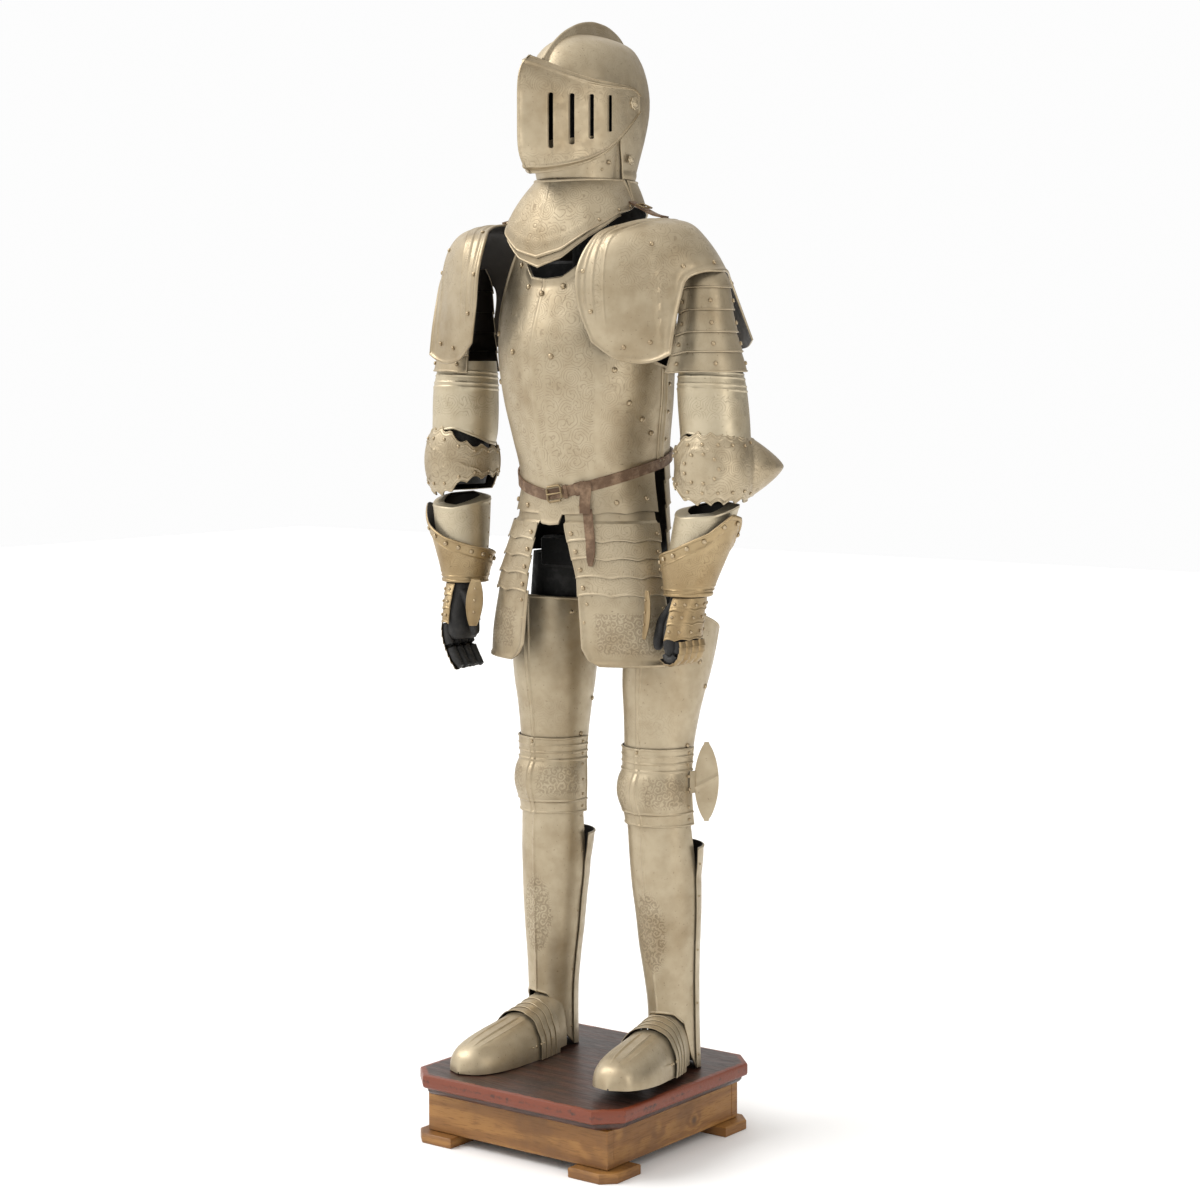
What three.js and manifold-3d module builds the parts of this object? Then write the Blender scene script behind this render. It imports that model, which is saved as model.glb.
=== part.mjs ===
// Suit of plate armour on its square wooden base. Millimetres, +Z up, floor at z = 0.
// The suit faces -Y and its own left hand is on +X. Each paired piece is built for the
// left side and mirrored for the right. Plates are sheets with a wall, so every hollow
// in the suit is open, and neighbouring plates keep a gap.
import * as THREE from 'three';
import Module from 'manifold-3d';

const wasm = await Module();
wasm.setup();

const wall = 2; // steel plate
const leather = 3; // straps

const steel = { color: 0xc8bda4, roughness: 0.42, metalness: 0.8 };
const darkSteel = { color: 0xa89878, roughness: 0.45, metalness: 0.8 };
const strapHide = { color: 0x5a3f28, roughness: 0.7, metalness: 0 };
const gloveHide = { color: 0x15120f, roughness: 0.75, metalness: 0 };
const brass = { color: 0x9a7a48, roughness: 0.45, metalness: 0.8 };
const redWood = { color: 0x4a2c20, roughness: 0.55, metalness: 0 };
const pine = { color: 0x8a6238, roughness: 0.65, metalness: 0 };
const blackWood = { color: 0x0c0b0a, roughness: 0.8, metalness: 0 };

const suit = new THREE.Group();
suit.name = 'suit_of_armour';

const deg = Math.PI / 180;

// ---- tables read at any height ------------------------------------------------

// Rows are objects with the same named columns, the key column rising. Returns a
// function that gives every column at a value of the key, smoothly between the rows.
function reader(rows, key) {
  const columns = Object.keys(rows[0]);
  const slope = (i, c) => {
    const a = rows[Math.max(i - 1, 0)];
    const b = rows[Math.min(i + 1, rows.length - 1)];
    return (b[c] - a[c]) / (b[key] - a[key]);
  };
  return (value) => {
    let i = 0;
    while (i < rows.length - 2 && value > rows[i + 1][key]) i += 1;
    const low = rows[i];
    const high = rows[i + 1];
    const span = high[key] - low[key];
    const t = Math.min(Math.max((value - low[key]) / span, 0), 1);
    const out = {};
    for (const c of columns) {
      const h = (t * t) * (3 - 2 * t);
      const m0 = t * (1 - t) * (1 - t) * span * slope(i, c);
      const m1 = t * t * (t - 1) * span * slope(i + 1, c);
      out[c] = low[c] * (1 - h) + high[c] * h + m0 + m1;
    }
    return out;
  };
}

// Straight lines between [at, value] pairs.
function line(pairs) {
  return (at) => {
    let i = 0;
    while (i < pairs.length - 2 && at > pairs[i + 1][0]) i += 1;
    const [a, b] = [pairs[i], pairs[i + 1]];
    const t = Math.min(Math.max((at - a[0]) / (b[0] - a[0]), 0), 1);
    return a[1] + (b[1] - a[1]) * t;
  };
}

const mix = (a, b, t) => a + (b - a) * t;

const spread = (from, to, count) => {
  const list = [];
  for (let i = 0; i <= count; i += 1) list.push(mix(from, to, i / count));
  return list;
};

// A smooth sheet through a grid of points, read at u across and v along, both 0 to 1.
function net(grid) {
  const rows = grid.length - 1;
  const cols = grid[0].length - 1;
  const spline = (p0, p1, p2, p3, t) => 0.5 * ((2 * p1) + (p2 - p0) * t
    + (2 * p0 - 5 * p1 + 4 * p2 - p3) * t * t + (3 * p1 - p0 - 3 * p2 + p3) * t * t * t);
  const pick = (list, i) => {
    const n = list.length - 1;
    if (i < 0) return list[0].map((c, k) => 2 * c - list[1][k]);
    if (i > n) return list[n].map((c, k) => 2 * c - list[n - 1][k]);
    return list[i];
  };
  const curve = (list, at) => {
    const i = Math.min(Math.floor(at), list.length - 2);
    const t = at - i;
    return [0, 1, 2].map((k) => spline(pick(list, i - 1)[k], pick(list, i)[k],
      pick(list, i + 1)[k], pick(list, i + 2)[k], t));
  };
  return (u, v) => curve(grid.map((row) => curve(row, u * cols)), v * rows);
}

// ---- solids -------------------------------------------------------------------

function add(name, look, geometry, side = 1) {
  const shape = geometry.clone();
  if (side < 0) {
    shape.scale(-1, 1, 1);
    const index = shape.index.array;
    for (let i = 0; i < index.length; i += 3) {
      [index[i + 1], index[i + 2]] = [index[i + 2], index[i + 1]];
    }
  }
  shape.computeVertexNormals();
  const mesh = new THREE.Mesh(shape, new THREE.MeshStandardMaterial(look));
  mesh.name = name;
  suit.add(mesh);
}

function pair(name, look, geometry) {
  add(`${name}_l`, look, geometry, 1);
  add(`${name}_r`, look, geometry, -1);
}

function meshOf(points, faces) {
  const geometry = new THREE.BufferGeometry();
  geometry.setAttribute('position', new THREE.Float32BufferAttribute(points.flat(), 3));
  geometry.setIndex(faces.flat());
  return geometry;
}

// A plate: surface(u, v) is its outer face, with u x v pointing out, and us and vs list
// where it is sampled. The wall is laid on the inside, and the edges are closed.
function plate(surface, us, vs, { thick = wall, ring = false } = {}) {
  const step = 1e-3;
  const outer = [];
  const inner = [];
  const across = ring ? us.length - 1 : us.length;
  for (let j = 0; j < vs.length; j += 1) {
    for (let i = 0; i < across; i += 1) {
      const [u, v] = [us[i], vs[j]];
      const p = new THREE.Vector3(...surface(u, v));
      const v0 = Math.max(v - step, vs[0]);
      const v1 = Math.min(v + step, vs[vs.length - 1]);
      const u0 = ring ? u - step : Math.max(u - step, us[0]);
      const u1 = ring ? u + step : Math.min(u + step, us[us.length - 1]);
      const du = new THREE.Vector3(...surface(u1, v)).sub(new THREE.Vector3(...surface(u0, v)));
      const dv = new THREE.Vector3(...surface(u, v1)).sub(new THREE.Vector3(...surface(u, v0)));
      const n = du.cross(dv).normalize();
      outer.push([p.x, p.y, p.z]);
      inner.push([p.x - n.x * thick, p.y - n.y * thick, p.z - n.z * thick]);
    }
  }
  const points = outer.concat(inner);
  const shift = outer.length;
  const at = (i, j) => j * across + (i % across);
  const faces = [];
  const quad = (a, b, c, d) => faces.push([a, b, c], [a, c, d]);
  for (let j = 0; j < vs.length - 1; j += 1) {
    for (let i = 0; i < us.length - 1; i += 1) {
      quad(at(i, j), at(i + 1, j), at(i + 1, j + 1), at(i, j + 1));
      quad(shift + at(i, j), shift + at(i, j + 1), shift + at(i + 1, j + 1),
        shift + at(i + 1, j));
    }
  }
  const top = vs.length - 1;
  for (let i = 0; i < us.length - 1; i += 1) {
    quad(at(i, 0), shift + at(i, 0), shift + at(i + 1, 0), at(i + 1, 0));
    quad(at(i + 1, top), shift + at(i + 1, top), shift + at(i, top), at(i, top));
  }
  if (!ring) {
    const end = us.length - 1;
    for (let j = 0; j < top; j += 1) {
      quad(at(0, j + 1), shift + at(0, j + 1), shift + at(0, j), at(0, j));
      quad(at(end, j), shift + at(end, j), shift + at(end, j + 1), at(end, j + 1));
    }
  }
  return meshOf(points, faces);
}

// A solid through level rings of points, each ring the same length, lowest ring first.
function loft(rings) {
  const count = rings[0].length;
  const points = rings.flat();
  const faces = [];
  for (let j = 0; j < rings.length - 1; j += 1) {
    for (let i = 0; i < count; i += 1) {
      const a = j * count + i;
      const b = j * count + ((i + 1) % count);
      faces.push([a, b, b + count], [a, b + count, a + count]);
    }
  }
  const last = (rings.length - 1) * count;
  for (let i = 1; i < count - 1; i += 1) {
    faces.push([0, i + 1, i], [last, last + i, last + i + 1]);
  }
  return meshOf(points, faces);
}

const circle = (x, y, z, rx, ry = rx, count = 12) => spread(0, 360, count).slice(0, -1)
  .map((a) => [x + rx * Math.sin(a * deg), y - ry * Math.cos(a * deg), z]);

// A square with cut corners, anticlockwise from above.
const cutSquare = (half, cut, z) => {
  const [h, k] = [half, half - cut];
  return [[k, -h], [h, -k], [h, k], [k, h], [-k, h], [-h, k], [-h, -k], [-k, -h]]
    .map(([x, y]) => [x, y, z]);
};

function toManifold(geometry) {
  return new wasm.Manifold(new wasm.Mesh({
    numProp: 3,
    vertProperties: new Float32Array(geometry.attributes.position.array),
    triVerts: new Uint32Array(geometry.index.array),
  }));
}

function fromManifold(solid) {
  const { vertProperties, triVerts, numProp } = solid.getMesh();
  const points = [];
  for (let i = 0; i < vertProperties.length; i += numProp) {
    points.push([vertProperties[i], vertProperties[i + 1], vertProperties[i + 2]]);
  }
  const faces = [];
  for (let i = 0; i < triVerts.length; i += 3) faces.push([...triVerts.slice(i, i + 3)]);
  return meshOf(points, faces);
}

const joined = (...solids) => fromManifold(wasm.Manifold.union(solids.map(toManifold))
  .simplify(0.03));

// ---- base ---------------------------------------------------------------------

const base = { half: 192, foot: 17.4, apronTop: 84.8, mould: 104, top: 122.5, board: 18 };

const slab = loft([
  cutSquare(199, 24, 85.2),
  cutSquare(208, 32, 92),
  cutSquare(212, 34, 98),
  cutSquare(220.3, 40, base.mould),
  cutSquare(220.3, 40, base.top),
]);
add('base_slab', redWood, slab);

const apronRing = (half, z) => cutSquare(half, 0.5, z);
const apronOut = toManifold(loft([apronRing(base.half, base.foot + 0.4),
  apronRing(base.half, base.apronTop)]));
const apronIn = toManifold(loft([apronRing(base.half - base.board, 0),
  apronRing(base.half - base.board, 100)]));
add('base_apron', pine, fromManifold(apronOut.subtract(apronIn)));

for (const [name, sx, sy] of [['front_l', 1, -1], ['front_r', -1, -1], ['back_l', 1, 1],
  ['back_r', -1, 1]]) {
  const [far, near, cut] = [212, 126, 22];
  const outline = [[near, near], [far, near], [far, far - cut], [far - cut, far], [near, far]];
  const turned = outline.map(([x, y]) => [x * sx, y * sy]);
  if (sx * sy < 0) turned.reverse();
  add(`base_foot_${name}`, pine, loft([0, base.foot].map((z) => turned.map(([x, y]) => [x, y, z]))));
}

// ---- legs ---------------------------------------------------------------------

// The leg's outer form: centre and half sizes at each height.
const leg = reader([
  { z: 122, x: 133, y: 82, rx: 43, ry: 45 },
  { z: 180, x: 132, y: 81, rx: 42, ry: 45 },
  { z: 234, x: 131, y: 80, rx: 42.5, ry: 45 },
  { z: 288, x: 128, y: 78, rx: 46, ry: 48 },
  { z: 340, x: 125, y: 76, rx: 51, ry: 52 },
  { z: 396, x: 123, y: 75, rx: 55, ry: 56 },
  { z: 440, x: 120, y: 74, rx: 58, ry: 59 },
  { z: 488, x: 118, y: 72, rx: 59, ry: 61 },
  { z: 548, x: 115, y: 66, rx: 58, ry: 57 },
  { z: 602, x: 112, y: 61, rx: 58, ry: 56 },
  { z: 650, x: 112, y: 61, rx: 58.5, ry: 57 },
  { z: 690, x: 113, y: 63, rx: 60, ry: 60 },
  { z: 740, x: 115, y: 67, rx: 64, ry: 67 },
  { z: 791, x: 118, y: 71, rx: 70, ry: 76 },
  { z: 850, x: 121, y: 74, rx: 73, ry: 79 },
  { z: 942, x: 122, y: 76, rx: 75, ry: 81 },
], 'z');

const ridge = (a, height, width = 14) => height * Math.max(0, 1 - Math.abs(a) / width);

// A point on the leg form at an angle from straight ahead, positive to the outside.
function onLeg(a, z, lift = 0) {
  const form = leg(z);
  return [form.x + (form.rx + lift) * Math.sin(a * deg),
    form.y - (form.ry + lift + ridge(a, 2.5)) * Math.cos(a * deg), z];
}

const frontAngles = (side, steps) => [...spread(-side, 0, steps).slice(0, -1),
  ...spread(0, side, steps)];

const cuisse = { side: 142, low: 676, flare: 14 };
const cuisseTop = line([[-142, 918], [-70, 932], [0, 938], [70, 924], [110, 902], [142, 884]]);
pair('cuisse', steel, plate((a, v) => {
  const z = mix(cuisse.low, cuisseTop(a), v);
  const out = cuisse.flare * Math.max(0, (a - 80) / 62) * Math.max(0, v - 0.45) / 0.55;
  return onLeg(a, z, out);
}, frontAngles(cuisse.side, 7), spread(0, 1, 4)));

// Knee: upper band, bulging cop and lower lame hammered as one stepped wrap.
const copBulge = reader([
  { z: 552, lift: 3.6, bulge: 0 },
  { z: 568, lift: 3.6, bulge: 1 },
  { z: 584, lift: 4.5, bulge: 7 },
  { z: 606, lift: 5, bulge: 12 },
  { z: 630, lift: 4.6, bulge: 9 },
  { z: 648, lift: 4, bulge: 0 },
  { z: 672, lift: 4, bulge: 0 },
  { z: 688, lift: 4, bulge: 0 },
], 'z');
pair('poleyn', steel, plate((a, z) => {
  const knee = copBulge(z);
  const front = Math.max(0, 1 - (a / 92) ** 2);
  return onLeg(a, z, knee.lift + knee.bulge * front);
}, frontAngles(104, 6), [552, 568, 586, 606, 628, 648, 687]));

// Oval wing on the outer side of the knee, standing off behind the cop.
const wing = { z: 627, tall: 68, from: [177, 76], to: [212, 99] };
pair('knee_wing', steel, plate((u, v) => {
  const reach = 0.5 + (v - 0.5) * Math.sin(Math.PI * Math.min(Math.max(u, 0.02), 0.98)) ** 0.6;
  return [mix(wing.from[0], wing.to[0], reach), mix(wing.from[1], wing.to[1], reach),
    mix(wing.z + wing.tall, wing.z - wing.tall, u)];
}, spread(0, 1, 10), spread(0, 1, 2)));

const shin = { side: 98, seam: 0.8, top: 566, backTop: 514, backLift: 3.2 };
const shinFoot = line([[-98, 128], [-75, 145], [-48, 196], [-28, 229], [0, 234], [38, 233],
  [62, 216], [80, 150], [98, 128]]);
pair('greave', steel, plate((a, v) => onLeg(a, mix(shinFoot(a), shin.top, v)),
  frontAngles(shin.side, 5), [0, 0.16, 0.36, 0.58, 0.8, 1]));
const calfFoot = line([[98, 128], [120, 124], [240, 124], [262, 128]]);
pair('greave_back', steel, plate((a, v) => {
  const z = mix(calfFoot(a), shin.backTop, v);
  return onLeg(a, z, shin.backLift + 8 * Math.max(0, (z - 460) / 54));
}, spread(shin.side + shin.seam, 360 - shin.side - shin.seam, 7), [0, 0.2, 0.42, 0.64, 0.84, 1]));

// Foot: arched sections across the foot, from the ankle to the toe. s is the distance
// forward of the heel, high the height over the sole.
const foot = reader([
  { s: -8, half: 41, high: 112 },
  { s: 24, half: 44, high: 104 },
  { s: 55, half: 47, high: 88 },
  { s: 95, half: 51, high: 75 },
  { s: 136, half: 53, high: 66 },
  { s: 172, half: 54, high: 59 },
  { s: 208, half: 50, high: 51 },
  { s: 237, half: 40, high: 42 },
  { s: 254, half: 27, high: 31 },
  { s: 264, half: 10, high: 18 },
], 's');
const heel = { x: 127, y: 80 };
const sole = base.top + 0.6;
function onFoot(a, s, lift = 0) {
  const form = foot(s);
  const across = Math.sin(a * deg);
  const up = Math.max(0, Math.cos(a * deg)) ** 0.8;
  return [heel.x + (form.half + lift) * Math.sign(across) * Math.abs(across) ** 0.85,
    heel.y - s, sole + up * (form.high + lift)];
}
const footAngles = [-90, -66, -40, -18, 0, 18, 40, 66, 90];
// Each foot's turn out and the lift of its toe: the left toe stands off the board.
const footTurn = { l: 12, r: 1 };
const toeUp = { l: 4.6, r: 0.3 };
function footPair(name, geometry) {
  for (const [side, sign] of [['l', 1], ['r', -1]]) {
    const shape = geometry.clone();
    shape.translate(-heel.x, -heel.y - 46, -sole);
    shape.rotateX(-toeUp[side] * deg);
    shape.translate(0, 46, 0);
    shape.rotateZ(footTurn[side] * deg);
    shape.translate(heel.x, heel.y, sole);
    add(`${name}_${side}`, steel, shape, sign);
  }
}
footPair('sabaton_instep', plate((a, s) => {
  const lower = (s - 18 - Math.abs(a) * 0.55) / 60;
  return onFoot(a, s, 3 + 1.6 * Math.max(0, lower));
}, footAngles, [44, 60, 76, 91, 106]));
footPair('sabaton_toe', plate((a, s) => onFoot(a, s), footAngles,
  [98, 130, 165, 198, 226, 244, 256, 264]));

// ---- torso --------------------------------------------------------------------

// The body's outer form: depth in front and behind of a centre line, and half width.
const body = reader([
  { z: 1000, y: 22, rx: 158, rf: 112, rb: 96 },
  { z: 1060, y: 30, rx: 147, rf: 124, rb: 98 },
  { z: 1100, y: 38, rx: 137, rf: 134, rb: 100 },
  { z: 1130, y: 44, rx: 129, rf: 143, rb: 102 },
  { z: 1162, y: 44, rx: 127, rf: 153, rb: 102 },
  { z: 1213, y: 38, rx: 134, rf: 163, rb: 104 },
  { z: 1272, y: 28, rx: 147, rf: 163, rb: 108 },
  { z: 1334, y: 20, rx: 155, rf: 161, rb: 112 },
  { z: 1373, y: 18, rx: 156, rf: 159, rb: 114 },
  { z: 1416, y: 16, rx: 155, rf: 144, rb: 114 },
  { z: 1476, y: 12, rx: 150, rf: 115, rb: 108 },
  { z: 1520, y: 10, rx: 146, rf: 88, rb: 96 },
  { z: 1556, y: 10, rx: 142, rf: 56, rb: 70 },
], 'z');

function onBody(a, z, lift = 0) {
  const form = body(z);
  const depth = Math.cos(a * deg) > 0 ? form.rf : form.rb;
  const keel = ridge(a, 3, 16);
  return [(form.rx + lift) * Math.sin(a * deg),
    form.y - (depth + lift + keel) * Math.cos(a * deg), z];
}

// The belt line dips in front and climbs to the back.
const beltZ = (a) => 1152 - 32 * Math.cos(a * deg) + 20 * Math.abs(Math.sin(a * deg));

const breastTop = line([[0, 1476], [12, 1480], [21, 1500], [28, 1540], [43, 1544], [52, 1452],
  [62, 1385], [75, 1345], [94, 1328]]);
const breastSide = [0, 8, 16, 24, 30, 38, 46, 54, 64, 78, 94];
const breastAngles = [...breastSide.slice(1).reverse().map((a) => -a), ...breastSide];
add('breastplate', steel, plate((a, v) => onBody(a, mix(beltZ(a) + 2, breastTop(Math.abs(a)), v)),
  breastAngles, spread(0, 1, 6)));
const backTop = line([[0, 1500], [20, 1508], [30, 1540], [45, 1544], [54, 1470], [64, 1400],
  [75, 1350], [85, 1328]]);
add('backplate', steel, plate((a, v) => onBody(a,
  mix(beltZ(a) + 2, backTop(Math.abs(a - 180)), v)),
[...breastSide.slice(1, -1).reverse().map((a) => 180 - a - 7 * a / 78),
  ...breastSide.slice(0, -1).map((a) => 180 + a + 7 * a / 78)], spread(0, 1, 5)));

const belt = { tall: 18, drop: 3, lift: 5.2 };
add('belt', strapHide, plate((a, v) => onBody(a,
  beltZ(a) - belt.drop + mix(-belt.tall, belt.tall, v) / 2, belt.lift), spread(-180, 180, 24),
[0, 1], { thick: leather, ring: true }));

// Buckle frame on the belt.
const buckle = { a: 7, wide: 30, tall: 28, thick: 4 };
const frontAt = (a, z, lift) => new THREE.Vector3(...onBody(a, z, lift));
function onBelt(name, look, angle, drop, size, lift, turn) {
  const spot = frontAt(angle, beltZ(angle) - drop, lift);
  const normal = frontAt(angle, beltZ(angle) - drop, lift + 10).sub(spot).normalize();
  const [w, t, h] = size;
  const shape = loft([-h / 2, h / 2].map((z) => [[-w / 2, -t / 2, z], [w / 2, -t / 2, z],
    [w / 2, t / 2, z], [-w / 2, t / 2, z]]));
  shape.rotateY(turn * deg);
  shape.rotateZ(Math.atan2(normal.x, -normal.y));
  shape.translate(spot.x, spot.y, spot.z);
  add(name, look, shape);
}
onBelt('belt_buckle', brass, buckle.a, belt.drop, [buckle.wide, buckle.thick, buckle.tall],
  belt.lift + 4.5, -6);

// Fauld: the plate under the belt, arched between the thighs.
const fauldLow = line([[0, 1066], [7, 1068], [10, 1084], [60, 1086], [84, 1088]]);
const fauldSide = [0, 7, 10.5, 24, 42, 62, 84];
add('fauld', steel, plate((a, v) => onBody(a, mix(fauldLow(Math.abs(a)), beltZ(a) - 2, v)),
  [...fauldSide.slice(1).reverse().map((a) => -a), ...fauldSide], spread(0, 1, 3)));

// Culet: the skirt behind.
add('culet', steel, plate((a, v) => onBody(a, mix(1012, beltZ(a) - 2, v), -6 * (1 - v)),
  spread(98, 262, 10), spread(0, 1, 3)));

// Tassets: lames over the thigh, the last one deep and rounded.
const hip = reader([
  { z: 826, y: 2, rx: 187, rf: 96 },
  { z: 880, y: 2, rx: 184, rf: 95 },
  { z: 940, y: 3, rx: 173, rf: 95 },
  { z: 982, y: 6, rx: 165, rf: 98 },
  { z: 1030, y: 20, rx: 153, rf: 114 },
  { z: 1060, y: 30, rx: 147, rf: 124 },
  { z: 1100, y: 38, rx: 137, rf: 134 },
], 'z');
const onHip = (a, z, lift) => {
  const form = hip(z);
  return [(form.rx + lift) * Math.sin(a * deg), form.y - (form.rf + lift) * Math.cos(a * deg), z];
};
const tassetIn = line([[832, 30], [842, 23], [862, 19], [900, 18.4], [982, 17.5], [1030, 14],
  [1062, 11], [1100, 10.5]]);
const tassetOut = line([[832, 76], [844, 84], [870, 88], [1090, 82]]);
const lames = { top: 1070, last: 950, tuck: 1096 };
const tassetAt = (u, z, lift) => onHip(mix(tassetIn(z), tassetOut(z), u), z, lift);
const lameSteps = spread(0, 1, 4).map((t) => mix(lames.last, lames.top, t));
const lameRows = [];
for (let i = 0; i < 4; i += 1) lameRows.push([lameSteps[i], 2.4], [lameSteps[i + 1] - 3, 0]);
const lameLift = line(lameRows);
lameRows.push([1073, -7.5], [lames.tuck, -8.5]);
pair('tasset_lames', steel, plate((u, z) => tassetAt(u, z, 3 + lameLift(z)),
  spread(0, 1, 6), lameRows.map(([z]) => z)));
pair('tasset', steel, plate((u, z) => tassetAt(u, z, 1.8 + 0.008 * (880 - z)),
  spread(0, 1, 7), [832, 840, 855, 882, 915, 946]));

// The loose end of the belt turns down beside the buckle and hangs in front of the left
// tasset. Its lower part is a piece of its own, because it swings with the tasset, and its
// top lies behind the end of the upper part.
const tail = { x: 70, step: 10, wide: 20, upper: 1141, split: 1088, lap: 1095, end: 1000 };
const tailAt = (from, to, lift) => plate((u, v) => {
  const z = mix(from, to, v);
  const x = tail.x + (1130 - z) / 130 * tail.step + mix(-tail.wide, tail.wide, u) / 2;
  const form = z > 1100 ? body(z) : hip(z);
  const a = Math.asin(x / (form.rx + lift(z)));
  return [x, form.y - (form.rf + lift(z)) * Math.cos(a), z];
}, [0, 1], spread(0, 1, 3), { thick: leather });
add('belt_loose_end', strapHide, tailAt(tail.split, tail.upper,
  (z) => mix(16.5, 10, (z - tail.split) / 53)));
add('belt_tail', strapHide, tailAt(tail.end, tail.lap, () => 9.8));

// ---- helmet and gorget --------------------------------------------------------

const head = reader([
  { z: 1614, y: 14, rx: 83, rf: 106, rb: 84 },
  { z: 1640, y: 14, rx: 77, rf: 104, rb: 78 },
  { z: 1670, y: 16, rx: 81, rf: 118, rb: 84 },
  { z: 1710, y: 18, rx: 87, rf: 134, rb: 98 },
  { z: 1750, y: 20, rx: 91, rf: 140, rb: 108 },
  { z: 1785, y: 20, rx: 91, rf: 140, rb: 110 },
  { z: 1820, y: 18, rx: 83, rf: 130, rb: 109 },
  { z: 1848, y: 14, rx: 70, rf: 108, rb: 106 },
  { z: 1868, y: 12, rx: 52, rf: 80, rb: 92 },
  { z: 1881, y: 12, rx: 22, rf: 44, rb: 48 },
  { z: 1885, y: 12, rx: 3, rf: 6, rb: 8 },
], 'z');
function onHead(a, z, lift = 0) {
  const form = head(z);
  const depth = Math.cos(a * deg) > 0 ? form.rf : form.rb;
  return [(form.rx + lift) * Math.sin(a * deg), form.y - (depth + lift) * Math.cos(a * deg), z];
}

// Skull with its comb: the face is open, and the comb is a fin along the centre.
const skullLow = line([[0, 1806], [60, 1806], [70, 1800], [78, 1700], [84, 1642], [180, 1642]]);
const skullSide = [0, 22, 44, 66, 78, 90, 110, 132, 156, 180];
const skullAngles = [...skullSide.slice(1).reverse().map((a) => -a), ...skullSide];
const skullTop = 1884.6;
const skull = plate((a, v) => onHead(a, mix(skullLow(Math.min(Math.abs(a), 180)), skullTop,
  v ** 0.72)), skullAngles, [0, 0.2, 0.42, 0.64, 0.82, 0.94, 1], { ring: true });
const combTop = [[-114, 1836], [-84, 1866], [-46, 1890], [-6, 1904], [28, 1908], [64, 1904],
  [98, 1890], [122, 1866], [140, 1828], [144, 1780]];
const combLow = [[-112, 1826], [-84, 1850], [-52, 1868], [-18, 1879], [16, 1882], [52, 1878],
  [78, 1868], [100, 1846], [118, 1812], [124, 1776]];
const comb = loft(combTop.map(([y, z], i) => [[7, combLow[i][0], combLow[i][1]],
  [-7, combLow[i][0], combLow[i][1]], [-2.2, y, z], [2.2, y, z]]));
add('helmet_skull', steel, joined(skull, comb));

// Visor: a sharp prow swinging on rosettes at the temples. Columns run from the middle
// of the prow to the pivot: where the column stands, and its lower and upper ends.
const pivot = { x: 99, y: 8, z: 1766 };
const visorForm = reader([
  { t: 0, x: 0, y: -180, low: 1646, high: 1838, tuckLow: 34, tuckHigh: 32 },
  { t: 1, x: 18, y: -156, low: 1647, high: 1831, tuckLow: 26, tuckHigh: 26 },
  { t: 2, x: 34, y: -134, low: 1650, high: 1822, tuckLow: 18, tuckHigh: 20 },
  { t: 3, x: 53.5, y: -104, low: 1657, high: 1811, tuckLow: 10, tuckHigh: 8 },
  { t: 4, x: 71.5, y: -74, low: 1668, high: 1802, tuckLow: 5, tuckHigh: 3 },
  { t: 5, x: 86, y: -45, low: 1686, high: 1797, tuckLow: 2, tuckHigh: 1 },
  { t: 6, x: 95, y: -16, low: 1712, high: 1794, tuckLow: 0, tuckHigh: 0 },
  { t: 7, x: 98.5, y: 8, low: 1736, high: 1790, tuckLow: 0, tuckHigh: 0 },
  { t: 8, x: 98.5, y: 24, low: 1752, high: 1780, tuckLow: 0, tuckHigh: 0 },
], 't');
function onVisor(t, v) {
  const form = visorForm(Math.abs(t));
  const ends = (2 * v - 1) ** 2;
  const tuck = (v < 0.5 ? form.tuckLow : form.tuckHigh) * ends ** 2.6;
  const lean = form.x > 0 ? tuck * 0.25 : 0;
  return [Math.sign(t) * (form.x - lean), form.y + tuck, mix(form.low, form.high, v)];
}
const visorCuts = spread(0, 8, 8);
const visorPlate = plate(onVisor, [...visorCuts.slice(1).reverse().map((t) => -t),
  ...visorCuts], [0, 0.1, 0.3, 0.6, 0.86, 1]);
// Rosette heads of the bolts that it turns on.
const bolt = loft([circle(0, 0, -1.6, 11), circle(0, 0, 3.4, 11), circle(0, 0, 7, 5)]);
bolt.rotateY(90 * deg);
bolt.translate(pivot.x, pivot.y, pivot.z);
const otherBolt = fromManifold(toManifold(bolt).mirror([1, 0, 0]));
add('visor', steel, joined(visorPlate, bolt, otherBolt));

// Bevor: chin and throat under the visor.
const bevorTop = line([[0, 1700], [40, 1706], [62, 1712], [76, 1724]]);
add('bevor', steel, plate((a, v) => onHead(a, mix(1643, bevorTop(Math.abs(a)), v), 0.5),
  frontAngles(76, 5), spread(0, 1, 3)));

// Gorget: front and rear plates spreading from the neck over the chest and back.
const gorgetLow = line([[0, 1508], [18, 1520], [36, 1550], [58, 1580], [90, 1597]]);
const gorgetOut = line([[0, 146], [18, 146], [36, 147], [58, 131], [90, 92], [130, 98],
  [180, 96]]);
function onGorget(a, v) {
  const away = Math.abs(a);
  const neck = onHead(a, 1640, 2.5);
  const out = gorgetOut(away > 180 ? 360 - away : away);
  const drop = away > 90 ? 1597 - 0.45 * (1597 - gorgetLow(Math.abs(180 - away)))
    : gorgetLow(away);
  const bow = v ** 1.5;
  return [mix(out * Math.sin(a * deg), neck[0], bow),
    mix(14 - out * Math.cos(a * deg), neck[1], bow),
    mix(drop, 1640.5, v)];
}
add('gorget_front', steel, plate(onGorget, frontAngles(86, 6), spread(0, 1, 4)));
add('gorget_rear', steel, plate(onGorget, spread(89, 271, 10), spread(0, 1, 3)));

// ---- shoulders ----------------------------------------------------------------

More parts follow.
